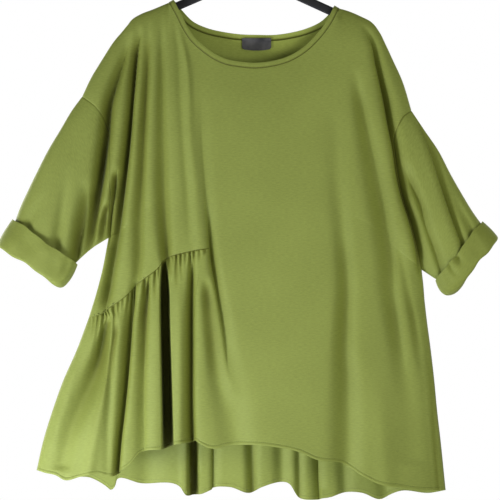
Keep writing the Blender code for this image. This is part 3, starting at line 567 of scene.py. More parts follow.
# A lap carries the cloth sideways, narrows its own side of the trough and widens the other
LAP_REACH = 1.5
LAP_NARROWS = 0.45
LAP_WIDENS = 0.35
FULL_LAP_DEPTH = 10.0
EDGE_OVER_CENTRE = 0.7
DARK_SIDE = 2.0
OPEN_DARK_SIDE = 0.5
UPRIGHT_FROM = 4
# A trough is tight by its depth over its width, and painted shade darkens it the more, the tighter it is
TIGHT_FROM = 0.7
TIGHT_TO = 2.2
END_OF_FOLD = 12.0


def folded(across, down, folds):
    """How far folds push each point in, how far their laps carry it sideways, and their painted shade."""
    push = np.zeros_like(across)
    shift = np.zeros_like(across)
    painted_darkening = np.zeros_like(across)
    for fold in folds:
        rows = np.array(fold.stations, float)
        centre, _, width, depth = np.moveaxis(through(rows, rows[:, 1], down), -1, 0)
        low, high = min(rows[:, 3].min(), 0), max(rows[:, 3].max(), 0)
        depth = np.clip(depth, low, high) * (down >= rows[0, 1])
        depth = depth * (1 - eased((down - rows[-1, 1]) / END_OF_FOLD))
        side = -1.0 if fold.lap < 0 else 1.0
        lap = abs(fold.lap)
        near, far = width * (1 - LAP_NARROWS * lap), width * (1 + LAP_WIDENS * lap)
        strength = np.clip(np.abs(depth) / FULL_LAP_DEPTH, 0, 1)
        open_side = OPEN_DARK_SIDE * width * (1 - lap) * (fold.square < UPRIGHT_FROM)
        centre = centre + side * (DARK_SIDE * lap + EDGE_OVER_CENTRE * near * lap * strength) + open_side
        off = (across - centre) * side
        profile = np.exp(-np.abs(np.where(off > 0, off / near, off / far)) ** fold.square)
        push += depth * profile
        steep = np.clip((np.abs(depth) / width - TIGHT_FROM) / (TIGHT_TO - TIGHT_FROM), 0, 1)
        painted_darkening = np.maximum(painted_darkening, steep * profile)
        reach = np.clip(off / near, 0, None)
        shift -= side * LAP_REACH * lap * near * strength * reach * np.exp((1 - reach**2) / 2)
    return push, shift, painted_darkening


# %% [markdown]
# ## From flat lines to hanging cloth
#
# The body closes at its side seams and opens between them, a little more with each level down, in the
# rounded section that `swell` gives. At the top the cloth folds over the shoulder, so the first
# centimetres rise as a quarter circle, and the neck's edge stands open by its own amount.

# %% From flat lines to hanging cloth
NECK_HALF_WIDTH = 149.0
NECK_FRONT_DEPTH = 16.0
NECK_BACK_DEPTH = 10.0
NECK_SQUARENESS = 6.0
SHOULDER_ROUND = 60.0
BODY_SQUARENESS = 2.6
SLEEVE_SQUARENESS = 2.2
ARMHOLE_DEPTH = 24.0
UNDERARM_REACH = 14.0
# Painted shade at its darkest, in the tightest troughs and gathers
FOLD_SHADE = 0.76
Level = collections.namedtuple("Level", "down front back")
LEVELS = [
    Level(0, 13, 12), Level(60, 15, 13), Level(115, 18, 15), Level(250, 25, 21),
    Level(430, 33, 29), Level(600, 42, 37), Level(770, 50, 44), Level(871, 54, 48),
]


def shares_of(first, second):
    """Where the points of two lines lie along them, from 0 to 1, as the mean of both."""
    found = []
    for points in (first, second):
        steps = np.linalg.norm(np.diff(points, axis=0), axis=1)
        found.append(np.concatenate([[0.0], np.cumsum(steps)]) / steps.sum())
    return (found[0] + found[1]) / 2


def patch(top, low, left, right):
    """A flat grid between four lines that share their corners."""
    u = shares_of(top, low)[None, :, None]
    v = shares_of(left, right)[:, None, None]
    straight = (1 - v) * top[None] + v * low[None]
    left_bend = (left[:, None] - straight[:, :1]) * (1 - u) ** 3
    right_bend = (right[:, None] - straight[:, -1:]) * u**3
    return straight + left_bend + right_bend


def swell(share, squareness):
    """From 0 at both ends of a share to 1 in its middle, upright at the ends."""
    inner = np.clip(1 - np.abs(2 * share - 1) ** squareness, 0, 1)
    return inner ** (1 / squareness)


def neck_stand(across, depth):
    """How far the neck's edge stands from the hanger's plane."""
    return depth * swell(across / NECK_HALF_WIDTH / 2 + 0.5, NECK_SQUARENESS)


def smoothed(values, passes=60):
    """Values along the rows, averaged with their neighbours many times."""
    soft = np.array(values, float)
    for _ in range(passes):
        ends = np.concatenate([soft[:1], soft, soft[-1:]])
        soft = (ends[:-2] + 2 * soft + ends[2:]) / 4
    return soft


def in_space(across, stand, down, *more):
    """Points that stand off the hanger's plane, in millimetres, with any more columns."""
    return np.stack([across, stand, -HOOK_TO_COLLAR - down, *more], axis=-1)


def hung(flat, shares, edge, top, level, neck_depth, folds, side, seam=None, extra=0.0):
    """Points in space for a body panel: its section, its folds and, with a seam, its gathers."""
    across, down = flat[..., 0], flat[..., 1]
    depth = np.interp(down, [row.down for row in LEVELS], [getattr(row, level) for row in LEVELS])
    neck = neck_stand(across, neck_depth)
    below = down - np.interp(across, top[:, 0], top[:, 1])
    rise = np.sqrt(1 - (1 - np.clip(below / SHOULDER_ROUND, 0, 1)) ** 2)
    closing = swell(np.broadcast_to(shares, across.shape), BODY_SQUARENESS)
    inside = np.minimum(np.abs(across - across[:, :1]), np.abs(across - across[:, -1:]))
    by_side = np.exp(-((inside / UNDERARM_REACH) ** 2))
    edge = edge[:, None] * by_side + smoothed(edge)[:, None] * (1 - by_side)
    stand = edge * ARMHOLE_DEPTH + (depth - edge * ARMHOLE_DEPTH) * closing
    give = (edge + (1 - edge) * closing) * rise
    push, shift, painted_darkening = folded(across, down, folds)
    if seam is not None:
        gather, gather_darkening = gather_push(across, down, seam)
        from_end = 1 - np.exp(-(((across - across[:, -1:]) / GATHER_END) ** 2))
        push, painted_darkening = push + gather * from_end, np.maximum(painted_darkening, gather_darkening * from_end)
    stand = neck + (stand - neck) * rise - push * give + extra
    # Painted shade, darker in tight troughs and gathers
    shade = 1 - FOLD_SHADE * painted_darkening * give
    return in_space(across + shift * give, side * stand, down, shade)


# %% [markdown]
# ## Walls of cloth
#
# A grid becomes a real wall: the same surface twice, a cloth's thickness apart, closed round the edge.
# Sewn edges dip a little and are darkened with painted shade, which draws each seam as a fine dark line,
# and one side runs on past the seam, as its allowance does. The lines were drawn in one plane, so a point
# that hangs nearer or farther moves along its own line of sight. The UV map keeps the flat places in
# metres, so the knit runs true.

# %% Walls of cloth
CLOTH = 0.9
SEAM_DIP = 0.7
ALLOWANCE = 1.6
SHARP_ANGLE = 50
SEAM_SHADE = 0.42
SHADE_TINT = np.array([[0.93, 1.0, 2.1, 0.0]])
# The inside is lighter near the neck, where light comes in: two heights and the shade at each
REVERSE_SHADE = ([-330, -190], [1.1, 1.42])
Piece = collections.namedtuple("Piece", "points faces flat shade")


def quads_of(rows, columns, ring=False):
    """The faces of a grid, as corner numbers, facing the front where columns run to the right."""
    i = np.arange(rows - 1)[:, None] * columns
    j = np.arange(columns if ring else columns - 1)[None]
    k = (j + 1) % columns
    quads = np.stack([i + j, i + columns + j, i + columns + k, i + k], axis=-1)
    return quads.reshape(-1, 4)


def piece_of(grid, flat, faces, flip=False):
    """A piece of cloth from a grid, keeping only the points that its faces use. A grid's fourth
    number is its shade."""
    used, faces = np.unique(faces, return_inverse=True)
    faces = faces.reshape(-1, 4)
    if flip:
        faces = faces[:, ::-1]
    points = grid.reshape(-1, grid.shape[-1])[used]
    shade = points[:, 3] if grid.shape[-1] == 4 else np.ones(len(points))
    return Piece(points[:, :3], faces, flat.reshape(-1, 2)[used], shade)


def normals_of(points, faces):
    """Unit normals at the points, from the faces round them."""
    corners = points[faces]
    facing = np.cross(corners[:, 2] - corners[:, 0], corners[:, 3] - corners[:, 1])
    total = np.zeros_like(points)
    for corner in range(4):
        np.add.at(total, faces[:, corner], facing)
    return total / np.maximum(np.linalg.norm(total, axis=1, keepdims=True), 1e-12)


def border_of(faces, count):
    """The edges that only one face uses, as rows of (from, to, face number)."""
    start, end = faces.reshape(-1), np.roll(faces, -1, axis=1).reshape(-1)
    owner = np.repeat(np.arange(len(faces)), 4)
    there, back = start * count + end, end * count + start
    alone = ~np.isin(there, back)
    return np.stack([start[alone], end[alone], owner[alone]], axis=1)


def wall(name, piece, material, thick=CLOTH, proud=0.0, dip=SEAM_DIP, free=None, past=0.0, plain=None,
         least=0.0):
    """A closed wall of cloth as an object. Points that free marks are a free edge, and neither dip nor get
    painted shade. Sewn edges run on past the seam by a length, and those that plain marks don't dip or get
    painted shade either. The outside's painted shade is never under the least."""
    points, faces = piece.points, piece.faces
    count = len(points)
    normals = normals_of(points, faces)
    border = border_of(faces, count)
    surface = points + normals * proud
    centre = points[faces].mean(axis=1)
    pull = np.zeros_like(points)
    for column in (0, 1):
        towards = centre[border[:, 2]] - points[border[:, column]]
        towards /= np.linalg.norm(towards, axis=1, keepdims=True)
        np.add.at(pull, border[:, column], towards)
    edge = np.unique(border[:, :2])
    pull[edge] /= np.maximum(np.linalg.norm(pull[edge], axis=1, keepdims=True), 1e-9)
    sewn = edge if free is None else edge[~free[edge]]
    surface[sewn] -= pull[sewn] * past
    hidden = np.zeros(count, bool) if plain is None else plain
    seen = sewn[~hidden[sewn]]
    surface[seen] -= normals[seen] * dip
    shade = piece.shade.copy()
    # Painted shade darkens the sewn edges that dip
    shade[seen] *= SEAM_SHADE
    corners = np.concatenate([surface, surface - normals * thick])
    sides = np.stack([border[:, 1], border[:, 0], border[:, 0] + count, border[:, 1] + count], axis=1)
    quads = np.concatenate([faces, faces[:, ::-1] + count, sides])
    twice = np.concatenate([piece.flat, piece.flat])
    # The inside is lighter, partly the paler back of the knit and partly painted light growing towards the
    # neck
    reverse = np.interp(points[:, 2], *REVERSE_SHADE).reshape(shade.shape)
    both = np.concatenate([np.maximum(shade, least), shade * reverse])
    return mesh_object(name, corners, quads, material, twice, both)


def along_sight(corners):
    """Corners in metres, moved along the lines of sight so that depth doesn't change their outline."""
    metres = corners * MM
    aim = np.array(CAMERA_AIM)
    nearer = 1 + (metres[:, 1:2] - aim[1]) / CAMERA_DISTANCE
    scale = np.concatenate([nearer, np.ones_like(nearer), nearer], axis=1)
    return aim + (metres - aim) * scale


def mesh_object(name, corners, faces, material, flat, shade):
    """A smooth-shaded object from corners in millimetres, with a UV map in metres and a shade."""
    mesh = bpy.data.meshes.new(name)
    mesh.from_pydata(along_sight(corners).tolist(), [], faces.tolist())
    mesh.shade_smooth()
    mesh.set_sharp_from_angle(angle=math.radians(SHARP_ANGLE))
    layer = mesh.uv_layers.new(name="cloth")
    loops = np.zeros(len(mesh.loops), np.int32)
    mesh.loops.foreach_get("vertex_index", loops)
    layer.data.foreach_set("uv", (flat[loops] * MM).astype(np.float32).reshape(-1))
    # Painted shade and light; where it darkens, each channel takes its own power, so the shade goes olive
    tone = mesh.color_attributes.new(name="shade", type="FLOAT_COLOR", domain="POINT")
    shade = np.clip(shade, 0, None)[:, None]
    tones = shade ** np.where(shade < 1, SHADE_TINT, 1.0)
    tone.data.foreach_set("color", tones.astype(np.float32).reshape(-1))
    mesh.materials.append(material)
    made = bpy.data.objects.new(name, mesh)
    bpy.context.scene.collection.objects.link(made)
    area = sum(face.area for face in mesh.polygons) / 2
    print(f"{name}: {len(mesh.polygons)} faces, {area:.4f} m2 of cloth")
    return made


# %% [markdown]
# ## Front and inset
#
# Both come from the same flat lines, so their points agree along the gathered seam. The columns are
# close together, because the folds run down the cloth, and the rows are closer towards the hem.

# %% Front and inset
LEFT_COLUMNS = 230
RIGHT_COLUMNS = 150
NECK_LEFT_SHARE = 0.14
SEAM_SHARE_UNDER_NECK = 0.62
HEM_WIDTH = 6.0
NECK_LEFT_COLUMNS = 26
NECK_COLUMNS = 100
# Height, place from the edge and width of the hem's roll, and depth and width of its groove
ROLL = (0.6, 2.4, 1.9)
GROOVE = (0.55, 0.9)
LOW_LENGTH = 350.0


def rounded_shares(count):
    """Shares from 0 to 1, closer together at both ends."""
    return (1 - np.cos(np.pi * np.linspace(0, 1, count + 1))) / 2


def spread(count, length, first_rows=14, last_rows=9):
    """Shares from 0 to 1 down to a hem: 2 mm apart at the top, then even, then 1 mm apart in the hem."""
    gathered = np.concatenate([[0, 1], 2.0 * np.arange(1, first_rows)])
    turned = 1.0 * np.arange(last_rows, -1, -1)
    middle = np.linspace(gathered[-1], length - turned[0], count)
    return np.concatenate([gathered[:-1], middle[:-1], length - turned]) / length


def edge_roll(from_edge):
    """The turned edge stands out as a soft roll."""
    return ROLL[0] * np.exp(-(((from_edge - ROLL[1]) / ROLL[2]) ** 2))


def hem_roll(below_share, length):
    """The roll of a hem, and the groove of its stitching above that."""
    from_hem = (1 - below_share) * length
    return edge_roll(from_hem) - GROOVE[0] * np.exp(-(((from_hem - HEM_WIDTH) / GROOVE[1]) ** 2))


def finer_end(count, steps=(0.024, 0.014, 0.006)):
    """Even shares from 0 to 1 with a few closer together at the end."""
    return np.concatenate([np.linspace(0, 1 - steps[0], count), [1 - step for step in steps[1:]], [1.0]])


ARMHOLE_ROWS = rounded_shares(60)
HIGH_ROWS = finer_end(28, (0.03, 0.018, 0.008))
LOW_ROWS = spread(62, LOW_LENGTH)
neck_left = np.linspace(0, NECK_LEFT_SHARE, NECK_LEFT_COLUMNS)
shoulder_left = np.linspace(0, 1, LEFT_COLUMNS - NECK_LEFT_COLUMNS + 2)
neck_right = np.linspace(NECK_LEFT_SHARE, 1, NECK_COLUMNS)
shoulder_right = finer_end(
    RIGHT_COLUMNS - NECK_COLUMNS - 4, (0.07, 0.06, 0.05, 0.04, 0.03, 0.02, 0.01)
)
front_top = joined(
    line(SHOULDER_LEFT, shoulder_left), line(NECK_FRONT, neck_left),
    line(NECK_FRONT, neck_right), line(SHOULDER_RIGHT, shoulder_right),
)
left_count = len(shoulder_left) + len(neck_left) - 2
seam_shares = np.linspace(0, 1, left_count + 1)
right_shares = joined(
    np.linspace(0, SEAM_SHARE_UNDER_NECK, len(neck_right)),
    np.linspace(SEAM_SHARE_UNDER_NECK, 1, len(shoulder_right)),
)
gather_line = line(GATHER_SEAM, seam_shares)
seam = joined(gather_line, line(SEAM_LEVEL_RIGHT, right_shares))
left_side = joined(line(ARMHOLE_LEFT, ARMHOLE_ROWS), line(SIDE_LEFT_HIGH, HIGH_ROWS))
right_side = joined(line(ARMHOLE_RIGHT, ARMHOLE_ROWS), line(SIDE_RIGHT_HIGH, HIGH_ROWS))
across_shares = shares_of(front_top, seam)
armhole_edge = swell(ARMHOLE_ROWS, SLEEVE_SQUARENESS)
high_edge = np.concatenate([armhole_edge, np.zeros(len(HIGH_ROWS) - 1)])
low_edge = np.zeros(len(LOW_ROWS))
FRONT_FOLDS = LEFT_YOKE_FOLDS + LEFT_SLEEVE_FOLDS + RIGHT_FOLDS + INSET_FOLDS


def front_half(flat, shares, edge, **more):
    """A panel of the front, hung."""
    return hung(flat, shares, edge, front_top, "front", NECK_FRONT_DEPTH, FRONT_FOLDS, -1, **more)


high_flat = patch(front_top, seam, left_side, right_side)
high_front = front_half(high_flat, across_shares, high_edge)
low_roll = hem_roll(LOW_ROWS, LOW_LENGTH)[:, None]
low_flat = patch(
    seam[left_count:], line(HEM_FRONT, right_shares),
    line(INSET_SEAM, LOW_ROWS), line(SIDE_RIGHT_LOW, LOW_ROWS),
)
low_front = front_half(low_flat, across_shares[left_count:], low_edge, extra=low_roll)
columns = len(front_top)
grid = np.zeros((len(high_front) + len(low_front) - 1, columns, 4))
flat = np.zeros(grid.shape[:2] + (2,))
grid[: len(high_front)], flat[: len(high_front)] = high_front, high_flat
grid[len(high_front) - 1 :, left_count:] = low_front
flat[len(high_front) - 1 :, left_count:] = low_flat
all_faces = quads_of(len(grid), columns)
first_low = (len(high_front) - 1) * (columns - 1)
keep = (np.arange(len(all_faces)) < first_low) | (all_faces[:, 0] % columns >= left_count)
front_piece = piece_of(grid, flat, all_faces[keep])

inset_flat = patch(
    gather_line, line(HEM_INSET, seam_shares), line(SIDE_LEFT_LOW, LOW_ROWS), line(INSET_SEAM, LOW_ROWS)
)
inset_grid = front_half(
    inset_flat, across_shares[: left_count + 1], low_edge, seam=gather_line, extra=low_roll
)
inset_piece = piece_of(inset_grid, inset_flat, quads_of(*inset_grid.shape[:2]))

front_hem_points = np.concatenate([inset_grid[-1], low_front[-1, 1:]])[:, :3]


def lies_on(points, edge_points, within=0.02):
    """Marks the points that are among an edge's points."""
    rounded = {tuple(row) for row in np.round(edge_points / within).astype(int)}
    return np.array([tuple(row) in rounded for row in np.round(points / within).astype(int)])


inner_seam_points = inset_grid[1:-1, -1, :3]
front_cloth = wall(
    "front_cloth", front_piece, jersey_green, free=lies_on(front_piece.points, front_hem_points),
    past=0.3, plain=lies_on(front_piece.points, inner_seam_points),
)
inset_cloth = wall(
    "inset_cloth", inset_piece, jersey_green, free=lies_on(inset_piece.points, front_hem_points),
    dip=1.5 * SEAM_DIP, past=ALLOWANCE, plain=lies_on(inset_piece.points, inner_seam_points),
)

# %% [markdown]
# ## Back
#
# The back is cut in one piece and is longer than the front, so its inner side shows under the front's
# hem, and again inside the neck.

# %% Back
BACK_SHOULDER_COLUMNS = 46
back_low_rows = spread(66, 370.0)
back_top = joined(
    line(SHOULDER_LEFT, np.linspace(0, 1, BACK_SHOULDER_COLUMNS)),
    line(NECK_BACK, np.linspace(0, 1, NECK_COLUMNS)),
    line(SHOULDER_RIGHT, np.linspace(0, 1, BACK_SHOULDER_COLUMNS - 8)),
)
back_left = joined(left_side, line(SIDE_LEFT_LOW, back_low_rows))
back_right = joined(right_side, line(SIDE_RIGHT_LOW, back_low_rows))
back_hem = line(HEM_BACK, shares_of(back_top, back_top))
back_flat = patch(back_top, back_hem, back_left, back_right)
back_edge = np.concatenate([high_edge, np.zeros(len(back_low_rows) - 1)])
from_hem = np.linalg.norm(back_flat - back_flat[-1:], axis=-1)
back_grid = hung(
    back_flat, shares_of(back_top, back_hem), back_edge, back_top, "back", NECK_BACK_DEPTH,
    BACK_FOLDS, 1, extra=edge_roll(from_hem),
)
back_piece = piece_of(back_grid, back_flat, quads_of(*back_grid.shape[:2]), flip=True)
back_cloth = wall(
    "back_cloth", back_piece, jersey_green, free=lies_on(back_piece.points, back_grid[-1, :, :3]),
    least=0.7,
)

# %% [markdown]
# ## Sleeves
#
# Each sleeve is a tube that hangs nearly flat. It starts at the armhole on exactly the body's edge and
# eases into its own section, so that folds can run across the seam.

# %% Sleeves
SLEEVE_ROWS = rounded_shares(60)
SLEEVE_COLUMNS = 1 - finer_end(64)[::-1]
SLEEVE_DEEPEST = 34.0
SLEEVE_GIVE = 0.12
# Painted shadow of the cuff's edge on the last columns of the sleeve
CUFF_EDGE_SHADOW = np.concatenate([np.ones(len(SLEEVE_COLUMNS) - 3), [0.85, 0.55, 0.4]])[None]


def sleeve(name, armhole, top_table, low_table, half_depth, border_front, border_back, flip):
    """A sleeve as a wall, and the ring of points at its end."""
    start = line(armhole, ARMHOLE_ROWS)
    top, low = line(top_table, SLEEVE_COLUMNS), line(low_table, SLEEVE_COLUMNS)
    finish = (1 - SLEEVE_ROWS[:, None]) * top[-1] + SLEEVE_ROWS[:, None] * low[-1]
    flat = patch(top, low, start, finish)
    around = swell(SLEEVE_ROWS, SLEEVE_SQUARENESS)[:, None]
    depth = ARMHOLE_DEPTH + (half_depth - ARMHOLE_DEPTH) * eased(SLEEVE_COLUMNS)[None]
    halves = []
    for side, folds, border in ((-1, FRONT_FOLDS, border_front), (1, BACK_FOLDS, border_back)):
        push, shift, painted_darkening = folded(flat[..., 0], flat[..., 1], folds)
        push = np.minimum(push, SLEEVE_DEEPEST + SLEEVE_GIVE * (push - SLEEVE_DEEPEST))
        stand = side * (depth - push) * around
        shade = (1 - FOLD_SHADE * painted_darkening * around) * CUFF_EDGE_SHADOW
        points = in_space(flat[..., 0] + shift * around, stand, flat[..., 1], shade)
        fade = 1 - eased(SLEEVE_COLUMNS / 0.3)[None, :, None]
        halves.append(points + (border[:, None] - points[:, :1]) * fade)
    tube = np.concatenate([halves[0], halves[1][-2:0:-1]]).transpose(1, 0, 2)
    length = np.linalg.norm(np.diff((top + low) / 2, axis=0), axis=1).sum()
    around_flat = np.linspace(0, 2 * np.linalg.norm(start[0] - start[-1]), tube.shape[1])
    uv = np.stack(np.meshgrid(around_flat, SLEEVE_COLUMNS * length), axis=-1)
    piece = piece_of(tube, uv, quads_of(*tube.shape[:2], ring=True), flip)
    end = tube[-1, :, :3]
    made = wall(
        name, piece, jersey_green, free=lies_on(piece.points, end), dip=1.5 * SEAM_DIP, past=ALLOWANCE
    )
    return made, end


armhole_count = len(ARMHOLE_ROWS)
sleeve_left, left_end = sleeve(
    "left_sleeve", ARMHOLE_LEFT, SLEEVE_TOP_LEFT, SLEEVE_LOW_LEFT, 32,
    high_front[:armhole_count, 0], back_grid[:armhole_count, 0], False,
)
sleeve_right, right_end = sleeve(
    "right_sleeve", ARMHOLE_RIGHT, SLEEVE_TOP_RIGHT, SLEEVE_LOW_RIGHT, 31,
    high_front[:armhole_count, -1], back_grid[:armhole_count, -1], True,
)

# %% [markdown]
# ## Turned-up cuffs
#
# The sleeve's wide hem is turned up once to the outside. The cuff follows a path that starts inside the
# sleeve, rounds the fold and comes back up outside it, standing a few millimetres off.

# %% Turned-up cuffs
Ring = collections.namedtuple("Ring", "top_across top_down low_across low_down half_depth")
Corner = collections.namedtuple("Corner", "bulge radius")
Ripple = collections.namedtuple("Ripple", "height times start")
CUFF_DEPTH = 52.0
CUFF_LEFT = [Ring(-418, 382, -313, 457, 33), Ring(-445, 428, -341, 498, 34)]
CUFF_RIGHT = [Ring(396, 387, 321, 484, 32), Ring(424, 417, 350, 511, 33)]
# The cuff's path: how far along the sleeve, and how far off its end
CUFF_PATH = [
    (12, 0), (26, 0), (40, 0.1), (48.5, 0.3), (51.4, 1.3), (52, 2.7), (51.2, 4.2), (48, 5.1), (34, 5.6),
    (17, 5.2), (0, 4.4),
]
CUFF_STOPS = 44
# A dent's columns are its share of the way round, along, its share wide, long and depth
DENTS_LEFT = [
    (0.07, 14, 0.03, 16, 2.4), (0.14, 34, 0.035, 14, -2.2), (0.2, 22, 0.035, 18, 2.8),
    (0.27, 10, 0.03, 14, -2.4), (0.33, 30, 0.03, 16, 2.6), (0.385, 14, 0.022, 14, 3.2),
    (0.42, 30, 0.022, 18, -2.6), (0.455, 18, 0.02, 18, 3.0), (0.62, 20, 0.04, 16, 2.2),
    (0.74, 30, 0.04, 14, -2.2), (0.86, 16, 0.04, 16, 2.2),
]
DENTS_RIGHT = [
    (0.06, 30, 0.03, 16, 2.2), (0.13, 16, 0.03, 18, -2.2), (0.19, 34, 0.03, 14, 2.4),
    (0.272, 5, 0.012, 14, 6.5), (0.297, 4, 0.012, 12, -5.5), (0.32, 8, 0.012, 20, 6.5),
    (0.36, 20, 0.02, 16, 2.0), (0.42, 28, 0.03, 16, -2.4), (0.47, 20, 0.025, 18, 2.6),
    (0.63, 20, 0.04, 16, 2.2), (0.77, 30, 0.04, 14, -2.2), (0.88, 16, 0.04, 16, 2.2),
]
LOW_CORNER_LEFT, LOW_CORNER_RIGHT = Corner(3.0, 9.0), Corner(6.5, 17.0)
TOP_CORNER = Corner(0.5, 4.0)
FOLD_RIPPLES = [Ripple(1.5, 1.2, 0.15), Ripple(0.9, 2.7, 0.6)]
EDGE_RIPPLES = [Ripple(1.2, 1.6, 0.4), Ripple(0.7, 3.9, 0.1)]
# Painted shade: the whole cuff is a little darker
CUFF_SHADE = 0.82
OUTSIDE_FROM = 0.45
OUTSIDE_EASES = 0.15
DENT_SHARE = 0.8


def cuff_side(share, corner):
    """How far a cuff's side stands out along its depth: bulged, and rounded off at the fold."""
    over = np.clip(1 - (1 - share) * CUFF_DEPTH / corner.radius, 0, 1)
    return corner.bulge * math.sin(math.pi * share) - corner.radius * (1 - math.sqrt(1 - over * over))


def rippled(rows, ripples):
    """An uneven wave along an edge."""
    return sum(row.height * np.sin(2 * math.pi * (row.times * rows + row.start)) for row in ripples)


def cuff(name, rings, sleeve_end, dents, low_corner, flip):
    """A turned-up cuff as a wall of cloth."""
    knots = np.linspace(0, 1, len(CUFF_PATH))
    path = through(np.array(CUFF_PATH, float), knots, np.linspace(0, 1, CUFF_STOPS))
    outside = eased((np.arange(CUFF_STOPS) / CUFF_STOPS - OUTSIDE_FROM) / OUTSIDE_EASES)
    rows = SLEEVE_ROWS[:, None]
    fold_wave, edge_wave = rippled(rows, FOLD_RIPPLES), rippled(rows, EDGE_RIPPLES)
    axis = np.array(rings[1][:2], float) - np.array(rings[0][:2])
    axis /= np.linalg.norm(axis)
    turns = []
    for number, (along, stand_off) in enumerate(path):
        share = along / CUFF_DEPTH
        ring = Ring(*((1 - share) * np.array(rings[0]) + share * np.array(rings[1])))
        top = np.array([ring.top_across, ring.top_down])
        low = np.array([ring.low_across, ring.low_down])
        away = (top - low) / np.linalg.norm(top - low)
        top = top + away * (stand_off + cuff_side(share, TOP_CORNER))
        low = low - away * (stand_off + cuff_side(share, low_corner))
        ripple = share**2 * fold_wave + (1 - share) ** 2 * outside[number] * edge_wave
        flat = (1 - rows) * top + rows * low + axis * ripple
        stand = (ring.half_depth + stand_off) * swell(SLEEVE_ROWS, SLEEVE_SQUARENESS)
        front, back = (in_space(flat[:, 0], side * stand, flat[:, 1]) for side in (-1, 1))
        turns.append(np.concatenate([front, back[-2:0:-1]]))
    grid = np.stack(turns)
    grid[0] = sleeve_end
    around = np.linspace(0, 1, grid.shape[1], endpoint=False)[None]
    dent = np.zeros(grid.shape[:2])
    for middle, place, wide, long, depth in dents:
        off = (np.abs(around - middle) / wide) ** 2 + ((path[:, :1] - place) / long) ** 2
        dent += depth * np.exp(-off)
    grid[..., 1] -= np.sign(grid[..., 1]) * dent * outside[:, None] * DENT_SHARE
    length = np.linalg.norm(np.diff(grid, axis=0), axis=-1).mean(axis=1)
    along = np.concatenate([[0], np.cumsum(length)])
    girth = np.linalg.norm(np.diff(grid[-1], axis=0), axis=1).sum()
    uv = np.stack(np.meshgrid(np.linspace(0, girth, grid.shape[1]), along), axis=-1)
    shade = np.full(grid.shape[:2] + (1,), CUFF_SHADE)
    grid = np.concatenate([grid, shade], axis=-1)
    piece = piece_of(grid, uv, quads_of(*grid.shape[:2], ring=True), flip)
    return wall(name, piece, jersey_green, free=np.ones(len(piece.points), bool))


cuff_left = cuff("left_cuff", CUFF_LEFT, left_end, DENTS_LEFT, LOW_CORNER_LEFT, False)
cuff_right = cuff("right_cuff", CUFF_RIGHT, right_end, DENTS_RIGHT, LOW_CORNER_RIGHT, True)

# %% [markdown]
# ## Neck band and label
#
# The neck is bound with a doubled strip of the same jersey, pressed narrow and a little proud of the
# body. A satin label lies under it at the back. It is blank: the finish is all that it shows.

# %% Neck band
BAND_WIDTH = 9.5
BAND_THICK = 1.7
BAND_CROWN = 0.55
# Painted shade along the band's seam: shares of the band's width from the seam, and the shade at each
BAND_SEAM_SHADE = ([0, 0.13, 0.26, 0.4], [0.4, 0.42, 0.85, 1.0])
NECK_POINT_LEAN = (0.88, 0.47)

front_neck = line(NECK_FRONT, joined(neck_left, neck_right))
back_neck = line(NECK_BACK, np.linspace(0, 1, NECK_COLUMNS))
front_ring, back_ring = (
    in_space(points[:, 0], side * neck_stand(points[:, 0], depth), points[:, 1])
    for points, side, depth in ((front_neck, -1, NECK_FRONT_DEPTH), (back_neck, 1, NECK_BACK_DEPTH))
)
neck_ring = np.concatenate([front_ring, back_ring[-2:0:-1]])
along = np.roll(neck_ring, -1, axis=0) - np.roll(neck_ring, 1, axis=0)
along /= np.linalg.norm(along, axis=1, keepdims=True)
facing = np.where(neck_ring[:, 1] <= 0, 1.0, -1.0)
inward = np.stack([-along[:, 2] * facing, np.zeros(len(along)), along[:, 0] * facing], axis=1)
upright = np.linalg.norm(inward, axis=1, keepdims=True)
leaning = np.zeros_like(inward)
leaning[:, 0] = -np.sign(neck_ring[:, 0]) * NECK_POINT_LEAN[0]
leaning[:, 2] = NECK_POINT_LEAN[1]
inward = np.where(upright < 0.6, leaning, inward / np.maximum(upright, 1e-6))
for _ in range(3):
    inward = (np.roll(inward, 1, axis=0) + 2 * inward + np.roll(inward, -1, axis=0)) / 4
    inward /= np.linalg.norm(inward, axis=1, keepdims=True)
band_shares = np.linspace(1, 0, 9)
outward = np.zeros_like(neck_ring)
outward[:, 1] = np.clip(neck_ring[:, 1] / 4, -1, 1)
band_grid = np.stack([
    neck_ring + inward * BAND_WIDTH * share + outward * BAND_CROWN * math.sin(math.pi * share)
    for share in band_shares
])
ring_length = np.concatenate([[0], np.cumsum(np.linalg.norm(np.diff(neck_ring, axis=0), axis=1))])
band_flat = np.stack(np.meshgrid(ring_length, BAND_WIDTH * band_shares), axis=-1)
band_shade = np.interp(band_shares, *BAND_SEAM_SHADE)[:, None, None] * np.ones(band_grid.shape[:2] + (1,))
band_piece = piece_of(
    np.concatenate([band_grid, band_shade], axis=-1), band_flat, quads_of(*band_grid.shape[:2], ring=True)
)
neck_binding = wall(
    "neck_binding", band_piece, jersey_green, BAND_THICK, 0.4, dip=0.9, past=0.8,
    free=lies_on(band_piece.points, band_grid[0]),
)

# %% Label
LABEL = {"left": -21.0, "right": 30.0, "top": 63.0, "low": 82.5, "sag": 2.5, "corner": 4.0}
LABEL_STAND_OFF = 2.2
# Height of the label's wave, and its turn from side to side in radians
LABEL_WAVE = (0.3, 7)
LABEL_THICK = 0.7
LABEL_COLUMNS = 40
LABEL_ROWS = 18
SATIN_DARK = (0.03, 0.03, 0.029)
SATIN_LIGHT = (0.115, 0.113, 0.105)


def satin(name):
    """Grey satin ribbon: fine threads across it and a gloss along them."""
    made, tree, shader = new_material(name, Roughness=0.36, Sheen_Weight=0.2)
    threads = node_of(
        tree, "ShaderNodeTexWave", Vector=place_in(tree, "UV"), Scale=700.0, Distortion=0.6
    )
    cloudy = between(tree, noise(tree, Scale=45.0, Detail=2.0), SATIN_DARK, SATIN_LIGHT, 0.3, 0.7)
    feed(tree, shader, Base_Color=cloudy)
    embossed(tree, shader, threads.outputs["Fac"], 0.3, 0.0001)
    return made


